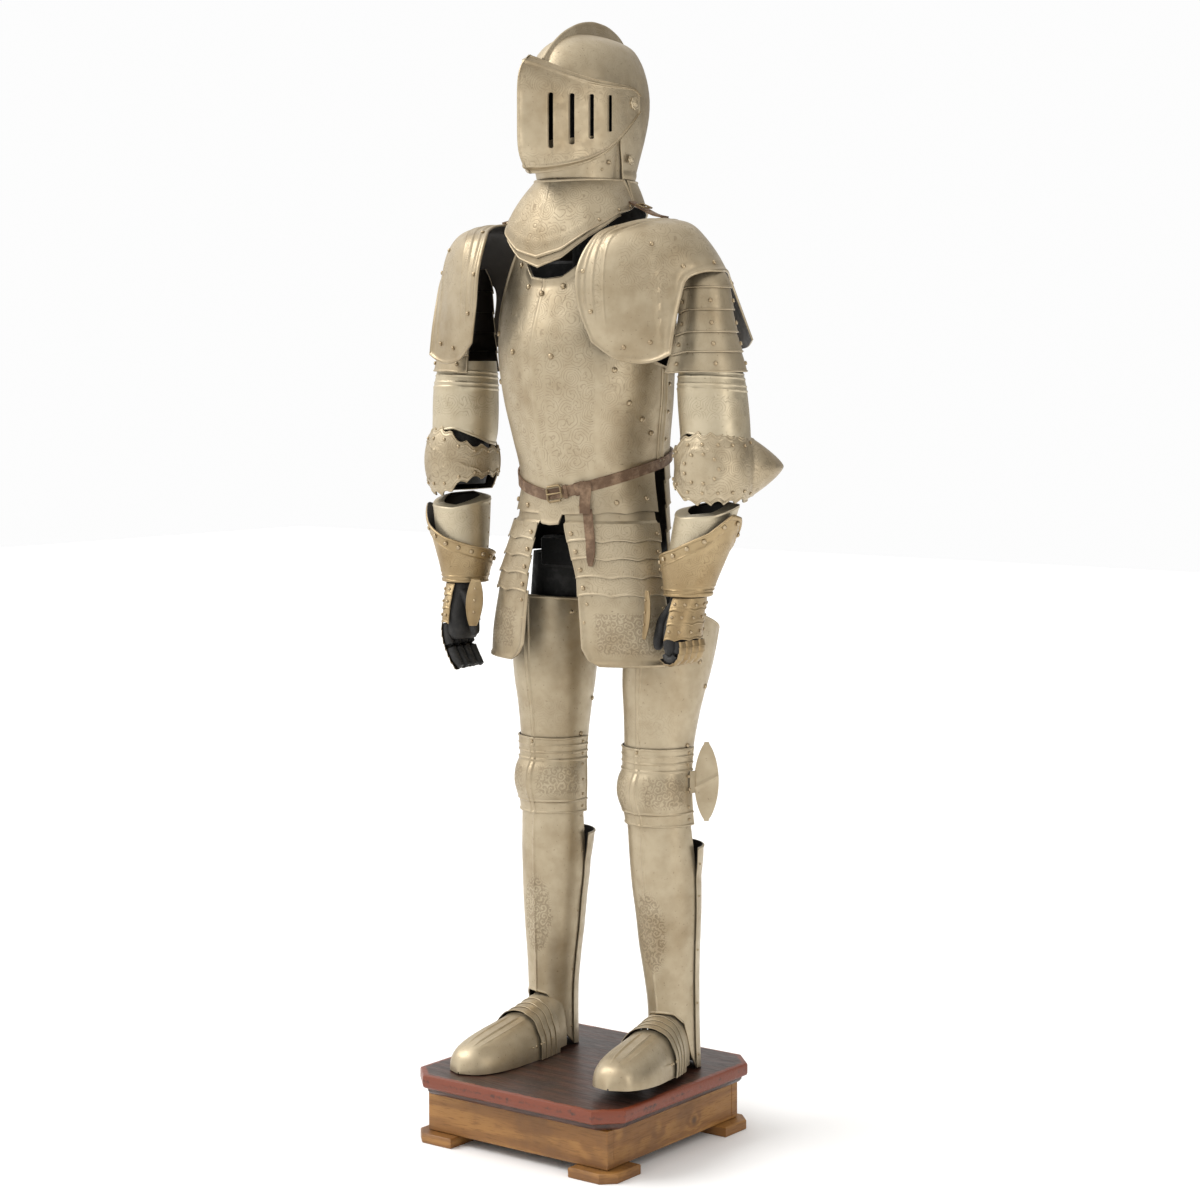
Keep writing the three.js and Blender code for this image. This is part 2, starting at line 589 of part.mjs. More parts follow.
// Rows from the bottom of the front wing, over the shoulder, to the bottom of the rear
// wing; each row runs from the arm in towards the neck.
const shoulderNet = [
  [[254, -105, 1350], [226, -113, 1338], [196, -122, 1335], [160, -134, 1344], [125, -148, 1370]],
  [[255, -96, 1395], [226, -112, 1390], [192, -130, 1392], [150, -147, 1400], [106, -160, 1432]],
  [[257, -82, 1440], [226, -106, 1450], [188, -130, 1462], [146, -148, 1474], [102, -157, 1490]],
  [[260, -69, 1470], [228, -98, 1498], [188, -122, 1520], [150, -132, 1536], [114, -122, 1543]],
  [[274, -44, 1482], [244, -66, 1526], [212, -80, 1551], [176, -86, 1561], [140, -78, 1562]],
  [[284, -14, 1484], [256, -14, 1530], [226, -18, 1560], [190, -24, 1571], [154, -28, 1571]],
  [[272, 28, 1484], [234, 34, 1532], [204, 38, 1558], [176, 36, 1567], [150, 30, 1568]],
  [[252, 68, 1470], [228, 86, 1496], [200, 98, 1520], [170, 104, 1536], [142, 100, 1548]],
  [[264, 84, 1420], [238, 108, 1432], [214, 122, 1444], [172, 132, 1456], [130, 136, 1466]],
  [[285, 84, 1374], [258, 108, 1362], [222, 126, 1362], [178, 136, 1376], [136, 140, 1400]],
];
const onShoulder = net(shoulderNet.map((row) => [...row].reverse()));
pair('pauldron', steel, plate((u, v) => onShoulder(1 - u, 1 - v), spread(0, 1, 6),
  spread(0, 1, 13)));

// Four lames below it, lapped in steps down the upper arm.
const lameStack = [
  { z: 1322, x: 255, y: 2, r: 61 },
  { z: 1356, x: 253, y: 1, r: 57 },
  { z: 1356.5, x: 252, y: 1, r: 54 },
  { z: 1388, x: 250, y: 0, r: 51.5 },
  { z: 1388.5, x: 250, y: 0, r: 49 },
  { z: 1424, x: 248, y: 0, r: 47 },
  { z: 1424.5, x: 248, y: 0, r: 45 },
  { z: 1460, x: 246, y: 0, r: 43 },
];
const lameForm = (z) => {
  let i = 0;
  while (i < lameStack.length - 2 && z > lameStack[i + 1].z) i += 1;
  const [a, b] = [lameStack[i], lameStack[i + 1]];
  const t = (z - a.z) / (b.z - a.z);
  return { x: mix(a.x, b.x, t), y: mix(a.y, b.y, t), r: mix(a.r, b.r, t) };
};
pair('arm_lames', steel, plate((a, z) => {
  const form = lameForm(z);
  const r = form.r + 14 * Math.max(0, -a / 38) * Math.max(0, (1400 - z) / 78);
  return [form.x + r * Math.sin(a * deg), form.y - r * Math.cos(a * deg), z];
}, [-38, -19, ...spread(0, 200, 9)], lameStack.map((row) => row.z)));

// ---- arms ---------------------------------------------------------------------

const arm = reader([
  { z: 955, x: 237, y: -33, r: 36 },
  { z: 1000, x: 244, y: -27, r: 42 },
  { z: 1050, x: 253, y: -20, r: 48 },
  { z: 1108, x: 263, y: -10, r: 52 },
  { z: 1150, x: 268, y: -2, r: 54 },
  { z: 1185, x: 269, y: 1, r: 57 },
  { z: 1220, x: 266, y: 4, r: 59 },
  { z: 1293, x: 261, y: 1, r: 58 },
  { z: 1345, x: 256, y: 1, r: 50 },
], 'z');
const onArm = (a, z, lift = 0) => {
  const form = arm(z);
  return [form.x + (form.r + lift) * Math.sin(a * deg),
    form.y - (form.r + lift) * Math.cos(a * deg), z];
};

const around = (count) => spread(-180, 180, count);
const upperLow = line([[-180, 1186], [-90, 1196], [-20, 1222], [50, 1212], [100, 1190],
  [180, 1186]]);
pair('upper_cannon', steel, plate((a, v) => onArm(a, mix(upperLow(a), 1340, v), -1), around(14),
  [0, 0.34, 0.7, 1], { ring: true }));

// Elbow: a wrap with a pointed cop behind and a broad wing in front.
const elbow = { x: 269, y: 0, z: 1166, r: 67.5 };
const elbowHalf = line([[-118, 28], [-90, 30], [-53, 34], [-36, 42], [-17, 58], [0, 62], [60, 60],
  [110, 56], [160, 54], [212, 50]]);
const copTip = { a: 153, reach: 62, wide: 52, tall: 56 };
pair('couter', steel, plate((a, v) => {
  const half = elbowHalf(a);
  const dz = mix(-half, half, v);
  const off = Math.hypot((a - copTip.a) / copTip.wide, dz / copTip.tall);
  const cone = copTip.reach * Math.max(0, 1 - off);
  const wingOut = 8 * Math.max(0, 1 - Math.abs(a + 20) / 80) * Math.abs(2 * v - 1) ** 1.5;
  const r = elbow.r + cone + wingOut;
  return [elbow.x + r * Math.sin(a * deg), elbow.y - r * Math.cos(a * deg), elbow.z + dz];
}, [-118, -90, -60, -30, 0, 30, 60, 84, 101, 118, 136, copTip.a, 170, 190, 212],
[0, 0.2, 0.36, 0.5, 0.64, 0.8, 1]));

const lowerTop = line([[-180, 1108], [-90, 1098], [-20, 1086], [50, 1090], [100, 1104],
  [180, 1108]]);
pair('lower_cannon', steel, plate((a, v) => onArm(a, mix(1002, lowerTop(a), v)), around(14),
  spread(0, 1, 3), { ring: true }));

// ---- gauntlets ----------------------------------------------------------------

const cuffTop = line([[-180, 1012], [-127, 1006], [-50, 1022], [0, 1036], [50, 1062], [78, 1092],
  [100, 1086], [127, 1058], [180, 1012]]);
pair('gauntlet_cuff', darkSteel, plate((a, v) => {
  const z = mix(956, cuffTop(a), v);
  const rise = (z - 956) / 92;
  const r = 39 + 25 * rise ** 1.1;
  return [237 + 8 * rise + r * Math.sin(a * deg), -32 + 12 * rise - r * Math.cos(a * deg), z];
}, around(14), spread(0, 1, 3), { ring: true }));

// Hand: the back plate wraps the outside of the hand.
const palm = reader([
  { z: 884, x: 234, y: -45, rx: 27, ry: 44 },
  { z: 905, x: 236, y: -42, rx: 27, ry: 43 },
  { z: 930, x: 237, y: -38, rx: 28, ry: 40 },
  { z: 954, x: 238, y: -33, rx: 31, ry: 36 },
], 'z');
pair('gauntlet_hand', darkSteel, plate((a, z) => {
  const form = palm(z);
  return [form.x + form.rx * Math.sin(a * deg), form.y - form.ry * Math.cos(a * deg), z];
}, spread(-12, 190, 8), [887, 908, 931, 954]));

// Fingers: four rows of scales side by side, curled on the left hand and hanging almost
// straight on the right. Each path runs from the knuckles to the tips.
const fingerPath = {
  l: [[257, 884], [257, 868], [250, 851], [236, 842], [220, 844], [210, 855]],
  r: [[256, 884], [256, 868], [252, 850], [244, 832], [234, 815], [222, 802]],
};
const fingers = { from: -80, to: -6, taper: 11, bulge: 4 };
for (const [side, sign] of [['l', 1], ['r', -1]]) {
  const along = net([0, 1].map(() => fingerPath[side].map(([x, z]) => [x, 0, z])));
  add(`gauntlet_fingers_${side}`, darkSteel, plate((u, v) => {
    const [x, , z] = along(1 - v, 0);
    const hump = fingers.bulge * Math.abs(Math.sin(Math.PI * 4 * u));
    const inset = fingers.taper * (1 - v);
    return [x + hump * v, mix(fingers.from + inset, fingers.to - inset, u), z - hump * (1 - v)];
  }, spread(0, 1, 8), spread(0, 1, 5)), sign);
}

// Pointed thumb plate, in front of the palm and facing inwards.
const thumbPlate = { x: 184, y: -76, low: 884, high: 964, half: 15 };
pair('gauntlet_thumb', darkSteel, plate((u, v) => {
  const half = thumbPlate.half * Math.sin(Math.PI * mix(0.1, 0.88, v)) ** 0.7;
  const across = mix(-half, half, 1 - u);
  const bow = 4 * (1 - (across / thumbPlate.half) ** 2);
  return [thumbPlate.x + 0.8 * across - 0.6 * bow, thumbPlate.y - 0.6 * across - 0.8 * bow + 8 * v,
    mix(thumbPlate.low, thumbPlate.high, v)];
}, spread(0, 1, 4), spread(0, 1, 4)));

// Leather glove inside: palm, and the thumb behind its plate.
const gloveBody = loft([[229, -46, 862, 18, 34], [230, -46, 880, 20, 36], [231, -44, 905, 21, 37],
  [234, -38, 930, 22, 34], [237, -32, 970, 27, 27]]
  .map(([x, y, z, rx, ry]) => circle(x, y, z, rx, ry, 10)));
const gloveThumb = loft([[196, -56, 868, 7, 7], [197, -58, 890, 9, 9], [206, -56, 918, 10, 10],
  [226, -50, 944, 12, 14]].map(([x, y, z, rx, ry]) => circle(x, y, z, rx, ry, 8)));
pair('glove', gloveHide, joined(gloveBody, gloveThumb));

// ---- straps between gorget and shoulders --------------------------------------

const strapPath = [[99, 1627], [109, 1616], [122, 1605], [143, 1594], [168, 1586]];
const onStrap = net([-11, 11].map((y) => strapPath.map(([x, z]) => [x, y - 2, z])));
pair('shoulder_strap', strapHide, plate((u, v) => onStrap(v, 1 - u), [0, 1], spread(0, 1, 5),
  { thick: leather }));

// ---- inner stand --------------------------------------------------------------

const post = loft([
  circle(131, 80, base.top + 0.6, 22), circle(128, 78, 300, 22), circle(118, 72, 480, 24),
  circle(114, 66, 640, 34), circle(118, 72, 800, 46), circle(112, 72, 900, 50),
  circle(96, 62, 1010, 50),
]);
const otherPost = fromManifold(toManifold(post).mirror([1, 0, 0]));
const bar = (x0, x1, y0, y1, z0, z1) => loft([z0, z1].map((z) => [[x0, y0], [x1, y0], [x1, y1],
  [x0, y1]].map(([x, y]) => [x, y, z])));
add('inner_stand', blackWood, joined(
  post,
  otherPost,
  bar(-104, 104, 10, 74, 985, 1040),
  loft([circle(0, 40, 1030, 34), circle(0, 30, 1300, 34), circle(0, 20, 1500, 32),
    circle(0, 18, 1640, 30), circle(0, 18, 1700, 44, 52), circle(0, 14, 1800, 52, 66),
    circle(0, 14, 1850, 34, 46)]),
  bar(-130, 130, 4, 44, 1470, 1510),
));

export default suit;
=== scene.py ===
# Suit of plate armour: fine plates, rivets, etching, leather and wood over the CAD frame.
# Tables are in millimetres, in the part's own frame. The suit faces -Y, its left is +X.
import bisect
import math
import mathutils

import bpy
import numpy as np
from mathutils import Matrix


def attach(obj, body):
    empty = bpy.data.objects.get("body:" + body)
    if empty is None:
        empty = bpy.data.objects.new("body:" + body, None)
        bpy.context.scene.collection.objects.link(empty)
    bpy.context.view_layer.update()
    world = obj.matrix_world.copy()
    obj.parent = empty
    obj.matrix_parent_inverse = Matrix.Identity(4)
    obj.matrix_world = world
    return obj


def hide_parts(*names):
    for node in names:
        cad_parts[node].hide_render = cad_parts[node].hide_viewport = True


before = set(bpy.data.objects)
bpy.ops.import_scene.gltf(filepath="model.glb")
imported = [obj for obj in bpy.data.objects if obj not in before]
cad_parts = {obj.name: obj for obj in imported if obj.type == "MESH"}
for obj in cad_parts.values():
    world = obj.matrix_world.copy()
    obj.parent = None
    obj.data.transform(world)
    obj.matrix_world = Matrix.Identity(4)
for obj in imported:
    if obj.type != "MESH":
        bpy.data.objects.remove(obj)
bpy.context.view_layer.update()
print("frame loaded:", len(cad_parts), "nodes")

wallSteel = 2.0
wallLeather = 3.0
deg = math.pi / 180
sides = (("l", 1), ("r", -1))


def mix(a, b, t):
    return a + (b - a) * t


def clamp(t, low=0.0, high=1.0):
    return min(max(t, low), high)


def reader(columns, rows):
    # smooth curve through each column, read at a value of the first one
    names = columns.split()
    keys = [row[0] for row in rows]
    slopes = []
    for i in range(len(rows)):
        a, b = rows[max(i - 1, 0)], rows[min(i + 1, len(rows) - 1)]
        slopes.append([(b[c] - a[c]) / (b[0] - a[0]) for c in range(len(names))])

    def read(value):
        i = min(max(bisect.bisect_left(keys, value) - 1, 0), len(rows) - 2)
        span = keys[i + 1] - keys[i]
        t = clamp((value - keys[i]) / span)
        h = t * t * (3 - 2 * t)
        m0 = t * (1 - t) * (1 - t) * span
        m1 = t * t * (t - 1) * span
        return {name: rows[i][c] * (1 - h) + rows[i + 1][c] * h
                + m0 * slopes[i][c] + m1 * slopes[i + 1][c] for c, name in enumerate(names)}
    return read


def line(pairs):
    # straight pieces between (at, value) pairs
    keys = [p[0] for p in pairs]

    def read(at):
        i = min(max(bisect.bisect_left(keys, at) - 1, 0), len(pairs) - 2)
        (a, va), (b, vb) = pairs[i], pairs[i + 1]
        return mix(va, vb, clamp((at - a) / (b - a)))
    return read


def net(grid):
    # smooth sheet through a grid of points, read at u across and v along, 0 to 1
    g = np.array(grid, float)

    def weights(at, count):
        i = min(int(at), count - 2)
        t = at - i
        w = np.zeros(count)
        for k, c in ((-1, -t + 2 * t * t - t ** 3), (0, 2 - 5 * t * t + 3 * t ** 3),
                     (1, t + 4 * t * t - 3 * t ** 3), (2, -t * t + t ** 3)):
            j = i + k
            if j < 0:
                w[0] += 2 * c
                w[1] -= c
            elif j >= count:
                w[count - 1] += 2 * c
                w[count - 2] -= c
            else:
                w[j] += c
        return w / 2

    def read(u, v):
        wu = weights(clamp(u) * (g.shape[1] - 1), g.shape[1])
        wv = weights(clamp(v) * (g.shape[0] - 1), g.shape[0])
        return tuple(np.einsum("i,j,ijk->k", wv, wu, g))
    return read


# sheets: a plate is a grid over a surface, with a wall, and finer rows where it has relief

gridSettings = {"samples": 81, "rimRows": (0.0, 0.7, 1.5, 2.5, 3.5, 4.3, 5.0, 6.2),
                "fineReach": 5.0, "fineStep": 1.1, "closest": 0.55, "endGap": 0.4}


def stations(curve, low, high, step, fineEnds, fineAt):
    # places along a curve for the grid's rows: even steps, with more at rims and at fineAt
    params = np.linspace(low, high, gridSettings["samples"])
    points = np.array([curve(t) for t in params])
    arc = np.concatenate([[0], np.cumsum(np.linalg.norm(np.diff(points, axis=0), axis=1))])
    total = arc[-1]
    marks = list(np.linspace(0, total, max(2, int(round(total / step)) + 1)))
    if fineEnds[0]:
        marks += gridSettings["rimRows"]
    if fineEnds[1]:
        marks += [total - d for d in gridSettings["rimRows"]]
    reach = gridSettings["fineReach"]
    for t in fineAt:
        centre = float(np.interp(t, params, arc))
        marks += [centre + d for d in np.arange(-reach, reach + 0.1, gridSettings["fineStep"])]
    marks = sorted(m for m in marks if 0 <= m <= total)
    kept = [0.0]
    for m in marks:
        if m - kept[-1] > gridSettings["closest"]:
            kept.append(m)
    if total - kept[-1] < gridSettings["endGap"]:
        kept[-1] = total
    elif kept[-1] < total:
        kept.append(total)
    kept = np.array(kept)
    return np.interp(kept, arc, params), kept, total


def roll(d, width, height):
    # a turned edge: half-round bead along the rim
    x = (d - width / 2) / (width / 2)
    return height * math.sqrt(max(0.0, 1 - x * x)) if d < width else 0.0


def bead(x, centre, width, height):
    # a soft raised line
    t = (x - centre) / (width / 2)
    return height * (1 - t * t) ** 2 if abs(t) < 1 else 0.0


def sheet(surface, uRange, vRange, wall=wallSteel, ring=False, rims="", step=7.0, fineU=(),
          fineV=(), relief=None, etch=None, side=1, rimSize=(5.0, 1.8)):
    # surface(u, v) is the outer face, with u x v pointing out. rims names rolled edges:
    # a and b at the ends of u, c and d at the ends of v. relief and etch take u, v and the
    # distances along both.
    (u0, u1), (v0, v1) = uRange, vRange
    uMid, vMid = (u0 + u1) / 2, (v0 + v1) / 2
    us, su, lu = stations(lambda t: surface(t, vMid), u0, u1, step,
                          ("a" in rims, "b" in rims), fineU)
    vs, sv, lv = stations(lambda t: surface(uMid, t), v0, v1, step,
                          ("c" in rims, "d" in rims), fineV)
    grid = np.array([[surface(u, v) for u in us] for v in vs], float)
    if ring:
        grid = grid[:, :-1]
        us, su = us[:-1], su[:-1]
        du = np.roll(grid, -1, 1) - np.roll(grid, 1, 1)
    else:
        du = np.gradient(grid, axis=1)
    dv = np.gradient(grid, axis=0)
    normal = np.cross(du, dv)
    normal /= np.maximum(np.linalg.norm(normal, axis=2, keepdims=True), 1e-9)
    up = np.zeros(grid.shape[:2])
    mask = np.zeros(grid.shape[:2])
    width, height = rimSize
    for j, v in enumerate(vs):
        for i, u in enumerate(us):
            edges = zip("abcd", (su[i], lu - su[i], sv[j], lv - sv[j]))
            toRim = min((d for edge, d in edges if edge in rims), default=math.inf)
            up[j, i] = roll(toRim, width, height)
            if relief:
                up[j, i] += relief(u, v, su[i], sv[j])
            if etch and toRim >= width:
                mask[j, i] = etch(u, v, su[i], sv[j])
    outer = grid + normal * up[..., None]
    inner = grid - normal * wall
    rows, cols = grid.shape[:2]
    verts = np.concatenate([outer.reshape(-1, 3), inner.reshape(-1, 3)])
    shift = rows * cols
    faces = []

    def at(i, j):
        return j * cols + (i % cols)
    across = cols if ring else cols - 1
    for j in range(rows - 1):
        for i in range(across):
            a, b, c, d = at(i, j), at(i + 1, j), at(i + 1, j + 1), at(i, j + 1)
            faces.append((a, b, c, d))
            faces.append((a + shift, d + shift, c + shift, b + shift))
    for i in range(across):
        a, b = at(i, 0), at(i + 1, 0)
        faces.append((a, a + shift, b + shift, b))
        a, b = at(i, rows - 1), at(i + 1, rows - 1)
        faces.append((b, b + shift, a + shift, a))
    if not ring:
        for j in range(rows - 1):
            a, b = at(0, j), at(0, j + 1)
            faces.append((b, b + shift, a + shift, a))
            a, b = at(cols - 1, j), at(cols - 1, j + 1)
            faces.append((a, a + shift, b + shift, b))
    etching = np.concatenate([mask.ravel(), np.zeros(shift)])
    inside = np.concatenate([np.zeros(shift), np.ones(shift)])
    return flip((verts, faces, etching, inside), side)


def flip(part, side):
    # mirrors a part for the right side
    verts, faces, etching, inside = part
    if side < 0:
        verts = verts * np.array([-1.0, 1.0, 1.0])
        faces = [tuple(reversed(f)) for f in faces]
    return verts, faces, etching, inside


def rings(loops, side=1, marks=None):
    # a solid through loops of points, lowest loop first; marks are its etch values
    count = len(loops[0])
    verts = np.array([p for loop in loops for p in loop], float)
    faces = []
    for j in range(len(loops) - 1):
        for i in range(count):
            a, b = j * count + i, j * count + (i + 1) % count
            faces.append((a, b, b + count, a + count))
    last = (len(loops) - 1) * count
    faces.append(tuple(reversed(range(count))))
    faces.append(tuple(range(last, last + count)))
    etching = np.zeros(len(verts)) if marks is None else np.array(marks, float).ravel()
    return flip((verts, faces, etching, np.zeros(len(verts))), side)


def block(size, at, bevel, turn=None):
    # a box with softened edges; turn maps its own axes to the frame
    w, d, h = (s / 2 for s in size)
    b = min(bevel, w * 0.9, d * 0.9, h * 0.9)
    k = b * 0.7
    loops = []
    for z, cut in ((-h, b), (-h + b, 0), (h - b, 0), (h, b)):
        x, y = w - cut, d - cut
        loops.append([(-x + k, -y, z), (x - k, -y, z), (x, -y + k, z), (x, y - k, z),
                      (x - k, y, z), (-x + k, y, z), (-x, y - k, z), (-x, -y + k, z)])
    verts, faces, etching, inside = rings(loops)
    if turn is not None:
        verts = verts @ np.array(turn, float)
    return verts + np.array(at, float), faces, etching, inside


def addObject(name, data):
    obj = bpy.data.objects.new(name, data)
    bpy.context.scene.collection.objects.link(obj)
    return obj


def makeMesh(name, parts):
    # one object from closed parts, in metres, and the parts' two masks
    faces, count = [], 0
    for part in parts:
        faces += [tuple(i + count for i in face) for face in part[1]]
        count += len(part[0])
    verts, etching, inside = (np.concatenate([part[k] for part in parts]) for k in (0, 2, 3))
    mesh = bpy.data.meshes.new(name)
    mesh.from_pydata((verts * 0.001).tolist(), [], faces)
    mesh.update()
    return addObject(name, mesh), etching, inside


def makePiece(name, parts, material, body, nodes=(), sharp=40):
    obj, etching, inside = makeMesh(name, parts)
    mesh = obj.data
    for label, values in (("etch", etching), ("inside", inside)):
        layer = mesh.attributes.new(label, "FLOAT", "POINT")
        layer.data.foreach_set("value", values.astype(np.float32))
    mesh.materials.append(material)
    mesh.polygons.foreach_set("use_smooth", [True] * len(mesh.polygons))
    mesh.set_sharp_from_angle(angle=sharp * deg)
    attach(obj, body)
    if nodes:
        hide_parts(*nodes)
    return obj


# materials

def addNode(tree, kind, inputs=None, **settings):
    # each input is a value or another node's output
    node = tree.nodes.new(kind)
    for key, value in settings.items():
        setattr(node, key, value)
    for key, value in (inputs or {}).items():
        if isinstance(value, bpy.types.NodeSocket):
            tree.links.new(value, node.inputs[key])
        else:
            node.inputs[key].default_value = value
    return node


class Tree:
    def __init__(self, name):
        self.material = bpy.data.materials.new(name)
        self.material.use_nodes = True
        self.tree = self.material.node_tree
        self.tree.nodes.clear()
        self.coords = self.add("ShaderNodeTexCoord").outputs["Object"]

    def add(self, kind, inputs=None, **settings):
        return addNode(self.tree, kind, inputs, **settings)

    def noise(self, scale, detail=3.0, rough=0.55, coords=None):
        return self.add("ShaderNodeTexNoise", {"Vector": coords or self.coords, "Scale": scale,
                                               "Detail": detail, "Roughness": rough}
                        ).outputs["Fac"]

    def ramp(self, value, low, high, toLow=0.0, toHigh=1.0, kind="SMOOTHSTEP"):
        return self.add("ShaderNodeMapRange", {0: value, 1: low, 2: high, 3: toLow, 4: toHigh},
                        interpolation_type=kind).outputs[0]

    def math(self, operation, a, b=0.0, c=0.0):
        return self.add("ShaderNodeMath", {0: a, 1: b, 2: c}, operation=operation).outputs[0]

    def blend(self, fac, a, b):
        a, b = (c if isinstance(c, bpy.types.NodeSocket) else (*c, 1.0) for c in (a, b))
        return self.add("ShaderNodeMix", {0: fac, 6: a, 7: b}, data_type="RGBA").outputs[2]

    def attribute(self, name):
        return self.add("ShaderNodeAttribute", attribute_name=name,
                        attribute_type="GEOMETRY").outputs["Fac"]

    def bump(self, height, distance, strength=1.0, under=None):
        inputs = {"Height": height, "Distance": distance, "Strength": strength}
        if under:
            inputs["Normal"] = under
        return self.add("ShaderNodeBump", inputs).outputs[0]

    def finish(self, **sockets):
        shader = self.add("ShaderNodeBsdfPrincipled",
                          {k.replace("_", " "): v for k, v in sockets.items()})
        self.add("ShaderNodeOutputMaterial", {"Surface": shader.outputs[0]})
        return self.material

    def scrolls(self, scale, turns, warp=0.35):
        # spirals that turn round scattered centres, with stems where they meet
        bent = self.add("ShaderNodeVectorMath", {0: self.add(
            "ShaderNodeTexNoise", {"Vector": self.coords, "Scale": scale * 0.9, "Detail": 1.0}
        ).outputs["Color"], "Scale": warp / scale}, operation="SCALE").outputs[0]
        place = self.add("ShaderNodeVectorMath", {0: self.coords, 1: bent},
                         operation="ADD").outputs[0]
        cells = self.add("ShaderNodeTexVoronoi", {"Vector": place, "Scale": scale,
                                                  "Randomness": 0.85})
        away = self.add("ShaderNodeVectorMath", {0: place, 1: cells.outputs["Position"]},
                        operation="SUBTRACT").outputs[0]
        split = self.add("ShaderNodeSeparateXYZ", {0: away}).outputs
        flat = self.math("ADD", split[0], self.math("MULTIPLY", split[1], 0.7))
        angle = self.math("ARCTAN2", split[2], flat)
        hand = self.ramp(self.add("ShaderNodeSeparateColor", {0: cells.outputs["Color"]}
                                  ).outputs[0], 0.49, 0.51, -1.0, 1.0, "LINEAR")
        phase = self.math("MULTIPLY_ADD", cells.outputs["Distance"], turns,
                          self.math("MULTIPLY", angle, hand))
        leaves = self.math("MULTIPLY", self.math("SINE", self.math("MULTIPLY", angle, 5.0)), 0.35)
        return self.math("SINE", self.math("ADD", phase, leaves))


def steelMaterial(name, light, tan, dark, patina=(0.36, 0.72), rough=(0.36, 0.52), metal=0.78,
                  etchScale=38.0, etchDepth=0.00022, etchTone=0.42):
    t = Tree(name)
    broad = t.ramp(t.noise(7.0, 4.0, 0.6), *patina)
    cloud = t.ramp(t.noise(38.0, 3.0, 0.6), 0.3, 0.75)
    grain = t.noise(900.0, 2.0, 0.5)
    spots = t.ramp(t.noise(210.0, 2.0, 0.5), 0.66, 0.76)
    tone = t.blend(t.math("MULTIPLY_ADD", cloud, 0.3, t.math("MULTIPLY", broad, 0.7)), light, tan)
    tone = t.blend(t.math("MULTIPLY", spots, 0.45), tone, dark)
    etched = t.attribute("etch")
    curl = t.scrolls(etchScale, 21.0)
    lines = t.ramp(t.math("ABSOLUTE", curl), 0.14, 0.5, 1.0, 0.0)
    deep = t.ramp(t.scrolls(etchScale * 2.1, 15.0), -0.2, 0.45, 1.0, 0.0)
    ground = t.blend(t.ramp(etched, 0.78, 0.92), lines, deep)
    stipple = t.ramp(t.noise(1500.0, 1.0, 0.5), 0.42, 0.6)
    groundMask = t.math("MULTIPLY", ground, etched)
    depth = t.math("MULTIPLY", groundMask, t.math("MULTIPLY_ADD", stipple, 0.5, 0.5))
    tone = t.blend(t.math("MULTIPLY", depth, etchTone), tone, dark)
    tone = t.blend(t.attribute("inside"), tone, (0.022, 0.017, 0.012))
    roughness = t.math("MULTIPLY_ADD", groundMask, 0.12,
                       t.ramp(t.noise(60.0, 4.0, 0.65), 0.3, 0.7, *rough))
    fine = t.bump(grain, 0.00010, 0.35)
    dents = t.bump(t.noise(16.0, 2.0, 0.5), 0.0016, 0.16, fine)
    normal = t.bump(t.math("MULTIPLY", groundMask, -1.0), etchDepth, 1.0, dents)
    return t.finish(Base_Color=tone, Metallic=t.math("MULTIPLY_ADD", t.attribute("inside"),
                                                     -metal * 0.8, metal),
                    Roughness=roughness, Normal=normal)


def leatherMaterial(name, base, worn, scale=1.0, rough=0.62):
    t = Tree(name)
    grainCells = t.add("ShaderNodeTexVoronoi", {"Vector": t.coords, "Scale": 900.0 * scale},
                       feature="DISTANCE_TO_EDGE").outputs[0]
    creases = t.ramp(grainCells, 0.0, 0.12)
    wear = t.ramp(t.noise(45.0, 4.0, 0.65), 0.42, 0.68)
    tone = t.blend(wear, base, worn)
    tone = t.blend(t.ramp(t.noise(260.0, 2.0), 0.55, 0.75, 0.0, 0.4), tone,
                   tuple(c * 0.4 for c in base))
    normal = t.bump(creases, 0.00022, 0.5, t.bump(t.noise(120.0, 3.0), 0.0004, 0.4))
    return t.finish(Base_Color=tone, Roughness=t.ramp(wear, 0.0, 1.0, rough, rough - 0.16),
                    Normal=normal)


